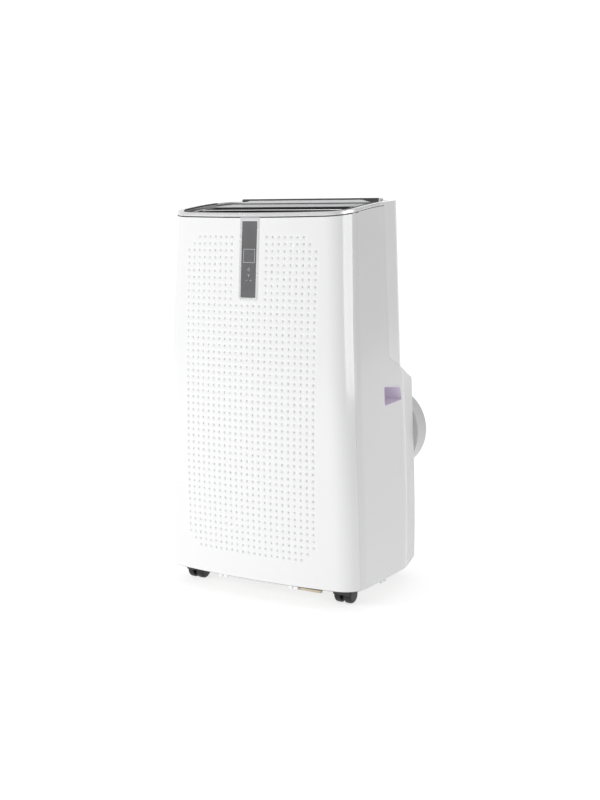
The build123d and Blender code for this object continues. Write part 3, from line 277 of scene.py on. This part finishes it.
def natural_spline(xs, ys):
    """Natural cubic spline through the loft sections, as a function of height."""
    count = len(xs)
    gaps = [xs[i + 1] - xs[i] for i in range(count - 1)]
    slopes = [(ys[i + 1] - ys[i]) / gaps[i] for i in range(count - 1)]
    diag, upper, rhs = [1.0], [0.0], [0.0]
    for i in range(1, count - 1):
        pivot = 2 * (gaps[i - 1] + gaps[i]) - gaps[i - 1] * upper[-1]
        diag.append(pivot)
        upper.append(gaps[i] / pivot)
        rhs.append((6 * (slopes[i] - slopes[i - 1]) - gaps[i - 1] * rhs[-1]) / pivot)
    bends = [0.0] * count
    for i in range(count - 2, 0, -1):
        bends[i] = rhs[i] - upper[i] * bends[i + 1]

    def value(x):
        i = max(0, min(count - 2, sum(1 for k in xs[1:] if k <= x)))
        a, b, h = xs[i + 1] - x, x - xs[i], gaps[i]
        return (bends[i] * a ** 3 + bends[i + 1] * b ** 3) / (6 * h) + \
            (ys[i] / h - bends[i] * h / 6) * a + (ys[i + 1] / h - bends[i + 1] * h / 6) * b
    return value


half_width = natural_spline(SECTIONS, [section_width(z) for z in SECTIONS])


def front_y(z):
    return FRONT_Y + (z - FRONT_FULL_Z) ** 2 / (2 * FRONT_BOW_R)


def top_seam(y):
    run = y - TOP_START[0]
    return TOP_START[1] + TOP_RISE * run - TOP_BEND * run ** 2


def plan_point(s, z):
    """Point and outward normal on the front outline, s metres along it from the middle."""
    side = 1 if s >= 0 else -1
    s = abs(s)
    w = half_width(z)
    big_y = front_y(z) + FRONT_PLAN_R
    corner_x = w - CORNER_R
    reach = FRONT_PLAN_R - CORNER_R
    corner_y = big_y - math.sqrt(reach ** 2 - corner_x ** 2)
    start = math.asin(corner_x / reach)
    if s < start * FRONT_PLAN_R:
        turn = s / FRONT_PLAN_R
        x = FRONT_PLAN_R * math.sin(turn)
        y = big_y - FRONT_PLAN_R * math.cos(turn)
    else:
        turn = start + (s - start * FRONT_PLAN_R) / CORNER_R
        x = corner_x + CORNER_R * math.sin(turn)
        y = corner_y - CORNER_R * math.cos(turn)
    return Vector((side * x, y, z)), Vector((side * math.sin(turn), -math.cos(turn), 0))


def outline_length(z):
    """Distance along the outline from the middle to the panel's side edge."""
    w = half_width(z)
    big_y = front_y(z) + FRONT_PLAN_R
    corner_x = w - CORNER_R
    reach = FRONT_PLAN_R - CORNER_R
    corner_y = big_y - math.sqrt(reach ** 2 - corner_x ** 2)
    start = math.asin(corner_x / reach)
    end = math.acos((corner_y - front_y(z) - FRONT_SEAM_DEPTH) / CORNER_R)
    return start * FRONT_PLAN_R + (end - start) * CORNER_R


def has_dot(column, row):
    """Rows count from the top; the block's corners are clipped and the display has its own gap."""
    from_side = min(column, DOT_COLUMNS - 1 - column)
    from_end = min(row, DOT_ROWS - 1 - row)
    if from_side + from_end < 2:
        return False
    middle = abs(column - (DOT_COLUMNS - 1) // 2)
    return not (middle <= GAP_COLUMNS // 2 and row < GAP_ROWS)


# Rings of one dimple from its rim inwards, as (share of its radius, share of its depth).
DOT_RINGS = [(1.1, 0.0), (1.0, 0.05), (0.86, 0.5), (0.55, 0.88)]
MARGIN_COLUMNS = 14
BOTTOM_STEPS = 5
TOP_STEPS = 4
WINDOW_HALF_W = 0.0201
WINDOW_Z = 0.5389
WINDOW_R = 0.006
WINDOW_ARC_STEPS = 6
PANEL_FOLD = 0.0026
EDGE_GAP = 0.0002         # left free at the panel's foot and under the top seam
SKIN_INSET = 0.00005      # how far the skin stays inside the CAD front


class FrontSkin:
    """Grid over the front outline: dimple cells in the middle, plain cells round them."""

    def __init__(self):
        self.bm = bmesh.new()
        self.known = {}
        self.normals = {}
        half = DOT_PITCH * DOT_COLUMNS / 2
        self.block_s = half
        self.columns = [-half + DOT_PITCH * i for i in range(DOT_COLUMNS + 1)]
        self.block_z1 = DOT_TOP_Z + DOT_PITCH / 2
        self.block_z0 = self.block_z1 - DOT_PITCH * DOT_ROWS
        self.foot_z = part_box("front_panel")[0].z + EDGE_GAP

    def top_z(self, s):
        z = self.block_z1 + 0.03
        for _ in range(6):
            z = top_seam(plan_point(s, z)[0].y)
        return z - EDGE_GAP

    def vertex(self, s, z, depth=0.0):
        key = (round(s, 6), round(z, 6), round(depth, 6))
        if key not in self.known:
            point, normal = plan_point(s, z)
            made = self.bm.verts.new(point - normal * (depth + SKIN_INSET))
            self.known[key] = made
            self.normals[made] = normal
        return self.known[key]

    def face(self, *corners):
        made = self.bm.faces.new(corners)
        made.smooth = True
        return made

    def grid_vertex(self, column, row):
        """Corner of the whole grid; margin columns and rows stretch to the panel's edges."""
        last = DOT_COLUMNS
        across = max(0, -column, column - last)
        inside = min(max(column, 0), last)
        s = self.columns[inside]
        if row < 0:
            z = self.block_z0 + (self.foot_z - self.block_z0) * (-row) / BOTTOM_STEPS
        elif row <= DOT_ROWS:
            z = self.block_z0 + DOT_PITCH * row
        else:
            z = self.height_above(s, across, (row - DOT_ROWS) / TOP_STEPS)
        if across:
            s = self.stretch(s, across, z)
        return self.vertex(s, z)

    def height_above(self, s, across, share):
        """Height at a share of the way from the dimples' block up to the sloping top seam."""
        z = self.block_z1 + (self.top_z(s) - self.block_z1) * share
        for _ in range(4 if across else 0):
            wide = self.stretch(s, across, z)
            z = self.block_z1 + (self.top_z(wide) - self.block_z1) * share
        return z

    def stretch(self, s, across, z):
        side = 1 if s > 0 else -1
        free = outline_length(z) - self.block_s
        return side * (self.block_s + free * across / MARGIN_COLUMNS)

    def dimple(self, column, row):
        """One cell: a square whose middle is pressed in as a shallow bowl."""
        s = self.columns[column] + DOT_PITCH / 2
        z = self.block_z0 + DOT_PITCH * (row + 0.5)
        rings = []
        for scale, depth in DOT_RINGS:
            ring = []
            for i in range(DOT_SIDES):
                turn = 2 * math.pi * (i + 0.5) / DOT_SIDES - 3 * math.pi / 4
                ring.append(self.vertex(s + DOT_R * scale * math.cos(turn),
                                        z + DOT_R * scale * math.sin(turn), DOT_DEPTH * depth))
            rings.append(ring)
        corners = [self.grid_vertex(column + a, row + b) for a, b in ((0, 0), (1, 0), (1, 1), (0, 1))]
        share = DOT_SIDES // 4
        for i in range(4):
            arc = [rings[0][(share * i + k) % DOT_SIDES] for k in range(share)]
            following = rings[0][(share * (i + 1)) % DOT_SIDES]
            self.face(corners[i], corners[(i + 1) % 4], following, *reversed(arc))
        for ring, smaller in zip(rings, rings[1:]):
            for i in range(DOT_SIDES):
                j = (i + 1) % DOT_SIDES
                self.face(ring[i], ring[j], smaller[j], smaller[i])
        middle = self.vertex(s, z, DOT_DEPTH)
        for i in range(DOT_SIDES):
            self.face(rings[-1][i], rings[-1][(i + 1) % DOT_SIDES], middle)

    def in_window(self, column, row):
        """Cells that the display opening takes up, at the top of the middle columns."""
        middle = (DOT_COLUMNS - 1) // 2
        return abs(column - middle) <= GAP_COLUMNS // 2 and row >= DOT_ROWS - GAP_ROWS

    def cells(self):
        for column in range(-MARGIN_COLUMNS, DOT_COLUMNS + MARGIN_COLUMNS):
            for row in range(-BOTTOM_STEPS, DOT_ROWS + TOP_STEPS):
                inside = 0 <= column < DOT_COLUMNS and 0 <= row < DOT_ROWS
                if self.in_window(column, row):
                    continue
                if inside and has_dot(column, DOT_ROWS - 1 - row):
                    self.dimple(column, row)
                else:
                    self.face(self.grid_vertex(column, row), self.grid_vertex(column + 1, row),
                              self.grid_vertex(column + 1, row + 1), self.grid_vertex(column, row + 1))

    def window_strips(self):
        """Plain strips beside and under the display opening, with its rounded lower corners."""
        first = (DOT_COLUMNS - 1) // 2 - GAP_COLUMNS // 2
        last = first + GAP_COLUMNS
        low = DOT_ROWS - GAP_ROWS
        for side, column in ((-1, first), (1, last)):
            edge = side * WINDOW_HALF_W
            inner = []
            for row in range(low + 1, DOT_ROWS + TOP_STEPS + 1):
                outer = self.grid_vertex(column, row)
                inner.append((self.vertex(edge, outer.co.z), outer))
            for (a, b), (c, d) in zip(inner, inner[1:]):
                self.face(*((a, b, d, c) if side > 0 else (b, a, c, d)))
            arc = []
            for i in range(WINDOW_ARC_STEPS + 1):
                turn = math.pi / 2 * i / WINDOW_ARC_STEPS
                arc.append(self.vertex(edge - side * WINDOW_R * (1 - math.cos(turn)),
                                       WINDOW_Z + WINDOW_R * (1 - math.sin(turn))))
            under = [self.grid_vertex(column - side * k, low) for k in (2, 1, 0)]
            loop = [*under, inner[0][1], inner[0][0], *arc]
            self.face(*(loop if side > 0 else reversed(loop)))
        left = self.vertex(-WINDOW_HALF_W + WINDOW_R, WINDOW_Z)
        right = self.vertex(WINDOW_HALF_W - WINDOW_R, WINDOW_Z)
        self.face(self.grid_vertex(first + 2, low), self.grid_vertex(last - 2, low), right, left)

    def fold_edges(self):
        """Turn every open edge inwards, so that the panel shows its thickness."""
        self.bm.normal_update()
        rim = [e for e in self.bm.edges if e.is_boundary]
        inner = {}
        for edge in rim:
            for v in edge.verts:
                if v not in inner:
                    inner[v] = self.bm.verts.new(v.co - self.normals[v] * PANEL_FOLD)
        for edge in rim:
            face = edge.link_faces[0]
            loop = [l for l in face.loops if l.edge == edge][0]
            a, b = loop.vert, loop.link_loop_next.vert
            made = self.bm.faces.new((b, a, inner[a], inner[b]))
            made.smooth = True
            edge.smooth = False

    def build(self):
        self.cells()
        self.window_strips()
        self.fold_edges()
        return finish_mesh("front_skin", self.bm, WHITE)


def finish_mesh(name, bm, material):
    """Turn a bmesh into an object with one material."""
    data = bpy.data.meshes.new(name)
    bm.to_mesh(data)
    bm.free()
    piece = bpy.data.objects.new(name, data)
    bpy.context.scene.collection.objects.link(piece)
    data.materials.append(material)
    return piece


def add_piece(piece, body, slot, *nodes):
    """Hand a piece to the frame: the body it rides on and any nodes it replaces; slot is not used."""
    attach(piece, body)
    if nodes:
        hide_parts(*nodes)
    return piece


# ---------------------------------------------------------------- marks on the display
LENS_TOP_Z = 0.677
LENS_INSET = 0.0004
MARK_LIFT = 0.00006
SQUARE_Z = LENS_TOP_Z - 0.060
SQUARE_HALF = 0.0118
LINE_W = 0.0006
SQUARE_CELLS = 12
SPECK_HALF = 0.00016
STROKE_HALF = 0.00028
POWER_DROP = 0.024
POWER_R = 0.0024
POWER_LINE_W = 0.0005
FAN_DROP = 0.0095
FAN_R = 0.0013
FAN_BLADE_HALF = 0.0004
STEP_DROP = 0.009
STEP_X = 0.0045
STEP_HALF = 0.0016


class Marks:
    """Flat printed strokes that lie on the curved lens."""

    def __init__(self):
        self.bm = bmesh.new()

    def vertex(self, x, z):
        y = front_y(z) + x * x / (2 * FRONT_PLAN_R) + LENS_INSET - MARK_LIFT
        return self.bm.verts.new((x, y, z))

    def band(self, outer, inner):
        ring_a = [self.vertex(*p) for p in outer]
        ring_b = [self.vertex(*p) for p in inner]
        count = len(outer)
        for i in range(count):
            j = (i + 1) % count
            self.bm.faces.new((ring_a[i], ring_a[j], ring_b[j], ring_b[i]))

    def square(self, x, z, half, line):
        spots = ((-1, -1), (1, -1), (1, 1), (-1, 1))
        self.band([(x + a * half, z + b * half) for a, b in spots],
                  [(x + a * (half - line), z + b * (half - line)) for a, b in spots])

    def ring(self, x, z, radius, line, sides=24):
        def circle(r):
            turns = [2 * math.pi * i / sides for i in range(sides)]
            return [(x + r * math.cos(turn), z + r * math.sin(turn)) for turn in turns]
        self.band(circle(radius), circle(radius - line))

    def bar(self, x, z, half_w, half_h, turn=0.0):
        c, s = math.cos(turn), math.sin(turn)
        corners = ((-half_w, -half_h), (half_w, -half_h), (half_w, half_h), (-half_w, half_h))
        self.bm.faces.new([self.vertex(x + a * c - b * s, z + a * s + b * c) for a, b in corners])


def display_marks():
    """A touch square with a fine dot pattern, and plain function symbols under it."""
    marks = Marks()
    marks.square(0, SQUARE_Z, SQUARE_HALF, LINE_W)
    pitch = SQUARE_HALF * 2 / SQUARE_CELLS
    for i in range(1, SQUARE_CELLS):
        for j in range(1, SQUARE_CELLS):
            if (i + j) % 2:
                marks.bar(-SQUARE_HALF + pitch * i, SQUARE_Z - SQUARE_HALF + pitch * j,
                          SPECK_HALF, SPECK_HALF)
    power_z = SQUARE_Z - POWER_DROP
    marks.ring(0, power_z, POWER_R, POWER_LINE_W)
    marks.bar(0, power_z + 0.0022, STROKE_HALF, 0.0014)
    fan_z = power_z - FAN_DROP
    for i in range(3):
        turn = 2 * math.pi * i / 3 + 0.5
        marks.bar(FAN_R * math.cos(turn), fan_z + FAN_R * math.sin(turn), FAN_R, FAN_BLADE_HALF, turn)
    step_z = fan_z - STEP_DROP
    marks.bar(-STEP_X, step_z, STEP_HALF, STROKE_HALF)
    marks.bar(STEP_X, step_z, STEP_HALF, STROKE_HALF)
    marks.bar(STEP_X, step_z, STROKE_HALF, STEP_HALF)
    piece = finish_mesh("display_marks", marks.bm, MARK)
    return add_piece(piece, "cabinet", "silver_trim")


# ---------------------------------------------------------------- the hose adapter's thread
HUB_MIDDLE = (0.101, 0.275)
HUB_BORE_R = 0.0755
THREAD_TURNS = 2.5
THREAD_PITCH = 0.008
THREAD_H = 0.0016
THREAD_W = 0.0022
THREAD_START_Y = 0.1575
THREAD_STEPS = 72         # stations per turn
THREAD_FADE = 12          # stations over which the rib rises at each end
THREAD_SINK = 0.0002
THREAD_CREST = 0.35       # width of the rib's crest as a share of its foot


def hub_thread():
    """Moulded helical rib inside the adapter that grips the hose's spiral."""
    bm = bmesh.new()
    count = int(THREAD_TURNS * THREAD_STEPS)
    rings = []
    for i in range(count + 1):
        turn = 2 * math.pi * i / THREAD_STEPS
        taper = min(1.0, i / THREAD_FADE, (count - i) / THREAD_FADE)
        foot, crest = HUB_BORE_R + THREAD_SINK, HUB_BORE_R - THREAD_H * taper
        y = THREAD_START_Y + THREAD_PITCH * i / THREAD_STEPS
        ring = []
        for radius, offset in ((foot, -THREAD_W), (crest, -THREAD_W * THREAD_CREST),
                               (crest, THREAD_W * THREAD_CREST), (foot, THREAD_W)):
            ring.append(bm.verts.new((HUB_MIDDLE[0] + radius * math.cos(turn), y + offset,
                                      HUB_MIDDLE[1] + radius * math.sin(turn))))
        rings.append(ring)
    for a, b in zip(rings, rings[1:]):
        for k in range(4):
            face = bm.faces.new((a[k], a[(k + 1) % 4], b[(k + 1) % 4], b[k]))
            face.smooth = True
    for ring, flip in ((rings[0], True), (rings[-1], False)):
        bm.faces.new(ring[::-1] if flip else ring)
    bmesh.ops.recalc_face_normals(bm, faces=bm.faces)
    return add_piece(finish_mesh("hose_thread", bm, HUB), "hose_connector", "hub_grey")


# ---------------------------------------------------------------- dark lines round the top
# Painted shadow: SEAM_H, SEAM_PROUD and SEAM_THICK size the black strip in the gap under the rim.
SEAM_H = 0.0013
SEAM_PROUD = 0.00012
SEAM_THICK = 0.0006
SEAM_BACK_Y = -0.0155
SEAM_STEP = 0.006
SEAM_GUESS_Z = 0.684      # where the search for the sloping seam's height starts
SEAM_FRONT_STEPS = 60
SEAM_BLEND_L = 0.010      # length over which the front outline runs into the side's


def seam_line():
    """Points and normals along the top seam, round the front and back along both sides."""
    z = SEAM_GUESS_Z
    for _ in range(4):
        corner, _ = plan_point(-outline_length(z), z)
        z = top_seam(corner.y)
    length = outline_length(z)
    quarter = []
    for i in range(SEAM_FRONT_STEPS + 1):
        s = length * i / SEAM_FRONT_STEPS
        height = SEAM_GUESS_Z
        for _ in range(5):
            point, normal = plan_point(s, height)
            height = top_seam(point.y)
        quarter.append((point, normal))
    last, turn = quarter[-1]
    reach = SEAM_BACK_Y - last.y
    steps = int(reach / SEAM_STEP)
    for i in range(1, steps + 1):
        y = last.y + reach * i / steps
        height = top_seam(y)
        into = min(1.0, (y - last.y) / SEAM_BLEND_L)
        x = last.x + (half_width(height) - last.x) * into
        normal = turn.lerp(Vector((1, 0, 0)), into).normalized()
        quarter.append((Vector((x, y, height)), normal))
    mirror = [(Vector((-p.x, p.y, p.z)), Vector((-n.x, n.y, n.z))) for p, n in quarter[:0:-1]]
    return mirror + quarter


def skin(bm, rings, looped=False):
    """Closed surface through rings of equal size, run into a loop or capped at both ends."""
    sides = len(rings[0])
    for a, b in zip(rings, rings[1:] + (rings[:1] if looped else [])):
        for k in range(sides):
            bm.faces.new((a[k], b[k], b[(k + 1) % sides], a[(k + 1) % sides]))
    if not looped:
        bm.faces.new(rings[0])
        bm.faces.new(rings[-1][::-1])
    bmesh.ops.recalc_face_normals(bm, faces=bm.faces)


def band_along(name, line, low, high, proud, thick, material):
    """Thin closed band that follows a line, from low to high above it and proud of it."""
    bm = bmesh.new()
    under = proud - thick
    profile = ((under, low), (proud, low), (proud, high), (under, high))
    skin(bm, [[bm.verts.new(point + normal * out + Vector((0, 0, up))) for out, up in profile]
              for point, normal in line])
    return finish_mesh(name, bm, material)


RIM_W = 0.012
RIM_H = 0.006
# Painted shade: sizes of the dark band along the rim's inner edge.
SHADE_BAND_DOWN = 0.0020
SHADE_BAND_UP = 0.0008
SHADE_BAND_OUT = 0.0007


def seams():
    """Black strip under the rim as painted shadow in the gap there, and a dark band along the rim's
    inner edge as painted shade for the gap between rim and deck.
    """
    # Painted shadow: black strip in the gap under the rim.
    shadow_strip = band_along("rim_shadow_strip", seam_line(), -SEAM_H, 0.0, SEAM_PROUD, SEAM_THICK, BLACK)
    add_piece(shadow_strip, "cabinet", "black_plastic")
    # Painted shade: dark band along the rim's inner edge.
    inner = []
    for point, normal in seam_line():
        at = point - normal * RIM_W
        inner.append((Vector((at.x, at.y, top_seam(at.y) + RIM_H)), normal))
    shade_band = band_along("rim_shade_band", inner, -SHADE_BAND_DOWN, SHADE_BAND_UP, SHADE_BAND_OUT, 2 * SHADE_BAND_OUT,
                       PAINTED_DARK)
    add_piece(shade_band, "cabinet", "black_plastic")


DECK_LIFT = 0.001
TRIM_MIDDLE_Y = -0.095
TRIM_HALF_L = 0.170
TRIM_HALF_D = 0.0368
TRIM_R = 0.027
TRIM_H = 0.0012
TRIM_W = 0.0016
TRIM_SINK = 0.0004
TRIM_BEVEL = 0.0003
TRIM_SHOULDER = 0.7       # height of the bevel's foot as a share of the trim's
TRIM_GAP = 0.008


def rounded_outline(half_l, half_d, radius, steps=10):
    """Closed plan outline of a rounded rectangle, anticlockwise, as (x, y, outward x, outward y)."""
    points = []
    for quarter, (sx, sy) in enumerate(((1, 1), (-1, 1), (-1, -1), (1, -1))):
        for i in range(steps + 1):
            turn = math.pi / 2 * (quarter + i / steps)
            c, s = math.cos(turn), math.sin(turn)
            points.append((sx * (half_l - radius) + radius * c,
                           sy * (half_d - radius) + radius * s, c, s))
    return points


def densify(points, gap):
    """The same closed outline with extra points on its long straight sides."""
    full = []
    for p, q in zip(points, points[1:] + points[:1]):
        length = math.hypot(q[0] - p[0], q[1] - p[1])
        count = max(1, int(length / gap))
        full += [tuple(a + (b - a) * i / count for a, b in zip(p, q)) for i in range(count)]
    return full


def outlet_trim():
    """Raised dark border that runs round the outlet, following the deck's slope."""
    bm = bmesh.new()
    rings = []
    shoulder = TRIM_H * TRIM_SHOULDER
    profile = ((0.0, -TRIM_SINK), (0.0, shoulder), (-TRIM_BEVEL, TRIM_H),
               (-TRIM_W + TRIM_BEVEL, TRIM_H), (-TRIM_W, shoulder), (-TRIM_W, -TRIM_SINK))
    for x, y, nx, ny in densify(rounded_outline(TRIM_HALF_L, TRIM_HALF_D, TRIM_R), TRIM_GAP):
        ring = []
        for out, up in profile:
            at_y = TRIM_MIDDLE_Y + y + ny * out
            ring.append(bm.verts.new((x + nx * out, at_y, top_seam(at_y) + DECK_LIFT + up)))
        rings.append(ring)
    skin(bm, rings, looped=True)
    add_piece(finish_mesh("outlet_trim", bm, BLACK), "cabinet", "black_plastic")


# ---------------------------------------------------------------- the filter's grip
GRIP_SIDE_ROUND = 0.0026
# Painted reflection and shade: sizes of the dark band on the grip's top edge and ends.
DARK_EDGE_H = 0.0030
DARK_EDGE_END_H = 0.0105
DARK_EDGE_END_L = 0.034
DARK_EDGE_PROUD = 0.0003
DARK_EDGE_BACK = 0.0095
# Painted shade: sizes of the dark band at the grip's foot.
FOOT_SHADE_H = 0.0016
FOOT_SHADE_BACK = 0.0012
FOOT_SHADE_T = FOOT_SHADE_BACK * 0.8
FOOT_SHADE_SINK = 0.0004


def grip_dark_edges():
    """Dark band along the filter grip's top edge, deeper at its two ends: painted reflection along the
    edge and painted shade at the ends.
    """
    low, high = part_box("upper_filter_frame")
    front, top = low.y, high.z
    x_end = high.x - GRIP_SIDE_ROUND
    # Places along the bar, each with how far the dark band drops towards its full end height.
    stations = [(-x_end, 0.35), (-x_end + DARK_EDGE_END_L * 0.25, 0.3),
                (-x_end + DARK_EDGE_END_L * 0.5, 0.0), (x_end - DARK_EDGE_END_L, 0.0),
                (x_end - DARK_EDGE_END_L * 0.25, 0.9), (x_end, 1.0)]
    bm = bmesh.new()
    rings = []
    for x, share in stations:
        foot = top - DARK_EDGE_H - (DARK_EDGE_END_H - DARK_EDGE_H) * share
        profile = ((-DARK_EDGE_PROUD, foot), (-DARK_EDGE_PROUD, top - 0.0020), (0.0006, top - 0.0004),
                   (0.0026, top + 0.0001), (DARK_EDGE_BACK, top + 0.0001), (DARK_EDGE_BACK, top - 0.0012),
                   (0.0026, top - 0.0016), (0.0012, foot))
        rings.append([bm.verts.new((x, front + y, z)) for y, z in profile])
    skin(bm, rings)
    add_piece(finish_mesh("grip_dark_edges", bm, PAINTED_DARK), "upper_filter", "black_plastic")


def grip_foot_shade():
    """Dark band on the deck along the front of the slot that the grip drops into, as painted shade for
    the gap under the grip.
    """
    low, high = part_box("upper_filter_frame")
    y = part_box("top_deck")[1].y - FOOT_SHADE_BACK
    z = top_seam(y) + DECK_LIFT
    line = [(Vector((x, y, z)), Vector((0, -1, 0)))
            for x in (low.x, low.x / 2, 0.0, high.x / 2, high.x)]
    foot_shade = band_along("grip_foot_shade", line, -FOOT_SHADE_SINK, FOOT_SHADE_H, FOOT_SHADE_T, FOOT_SHADE_T, PAINTED_DARK)
    add_piece(foot_shade, "cabinet", "black_plastic")


# ---------------------------------------------------------------- stage, lights, camera
ROOM_STRENGTH = 0.46
PAPER_GLOW = 0.72
CAMERA_PLACE = (1.1834, -1.9947, 0.675)
CAMERA_YAW = 30.62
CAMERA_PITCH = 8.17
LENS = 55.7
PAPER_FRONT_Y = -4.0
PAPER_BACK_Y = 3.2
PAPER_BEND_R = 0.9
PAPER_BEND_STEPS = 12
PAPER_TOP_Z = 5.0
PAPER_HALF_W = 6.0


def stage():
    """Floor of pale paper that sweeps up into a wall, square to the camera's direction."""
    bm = bmesh.new()
    rows = []
    profile = [(PAPER_FRONT_Y, 0.0), (PAPER_BACK_Y, 0.0)]
    for i in range(1, PAPER_BEND_STEPS + 1):
        turn = math.pi / 2 * i / PAPER_BEND_STEPS
        profile.append((PAPER_BACK_Y + PAPER_BEND_R * math.sin(turn),
                        PAPER_BEND_R * (1 - math.cos(turn))))
    profile.append((PAPER_BACK_Y + PAPER_BEND_R, PAPER_TOP_Z))
    spin = Matrix.Rotation(math.radians(CAMERA_YAW), 3, "Z")
    for x in (-PAPER_HALF_W, PAPER_HALF_W):
        rows.append([bm.verts.new(spin @ Vector((x, y, z))) for y, z in profile])
    for i in range(len(profile) - 1):
        face = bm.faces.new((rows[0][i], rows[1][i], rows[1][i + 1], rows[0][i + 1]))
        face.smooth = True
    n = Nodes("studio_paper")
    n.to_shader("Base Color", n.mix(n.noise(3.0), (0.44, 0.44, 0.44, 1), (0.46, 0.46, 0.46, 1)))
    n.shader.inputs["Roughness"].default_value = 0.9
    n.shader.inputs["Emission Color"].default_value = (1, 1, 1, 1)
    n.shader.inputs["Emission Strength"].default_value = PAPER_GLOW
    n.bump(n.noise(400.0), 0.1, 0.0001)
    finish_mesh("studio_floor", bm, n.material)


def area_light(name, place, target, size, power):
    data = bpy.data.lights.new(name, "AREA")
    data.shape = "RECTANGLE"
    data.size, data.size_y = size
    data.energy = power
    lamp = bpy.data.objects.new(name, data)
    bpy.context.scene.collection.objects.link(lamp)
    lamp.location = place
    aim = Vector(target) - Vector(place)
    lamp.rotation_euler = aim.to_track_quat("-Z", "Y").to_euler()
    return lamp


def lights():
    """Even white room, a key from the front left, and a panel that shows only in reflections."""
    world = bpy.data.worlds.new("studio")
    bpy.context.scene.world = world
    world.use_nodes = True
    background = world.node_tree.nodes["Background"]
    background.inputs["Color"].default_value = (1, 1, 1, 1)
    background.inputs["Strength"].default_value = ROOM_STRENGTH
    key = area_light("key_left", (-1.6, -2.6, 1.3), (0, -0.1, 0.38), (0.7, 0.7), 40)
    key.visible_glossy = False
    area_light("top_fill", (0.0, -0.4, 2.8), (0, 0, 0.3), (2.4, 2.0), 4)
    area_light("rear_fill", (-0.8, 2.4, 1.6), (0, 0, 0.4), (1.6, 1.4), 2)
    corner = area_light("corner_reflection", (1.6, -0.22, 0.95), (0.2, -0.22, 0.95),
                        (1.35, 1.3), 24)
    corner.visible_diffuse = False


def camera():
    data = bpy.data.cameras.new("camera")
    data.sensor_width = 36.0
    data.lens = LENS
    rig = bpy.data.objects.new("camera", data)
    bpy.context.scene.collection.objects.link(rig)
    rig.location = CAMERA_PLACE
    rig.rotation_euler = (math.radians(90 - CAMERA_PITCH), 0, math.radians(CAMERA_YAW))
    bpy.context.scene.camera = rig
    bpy.context.scene.view_settings.view_transform = "Standard"


camera()
lights()
stage()
dress_cad_nodes()
add_piece(FrontSkin().build(), "cabinet", "white_gloss", "front_panel")
display_marks()
hub_thread()
seams()
outlet_trim()
grip_dark_edges()
grip_foot_shade()
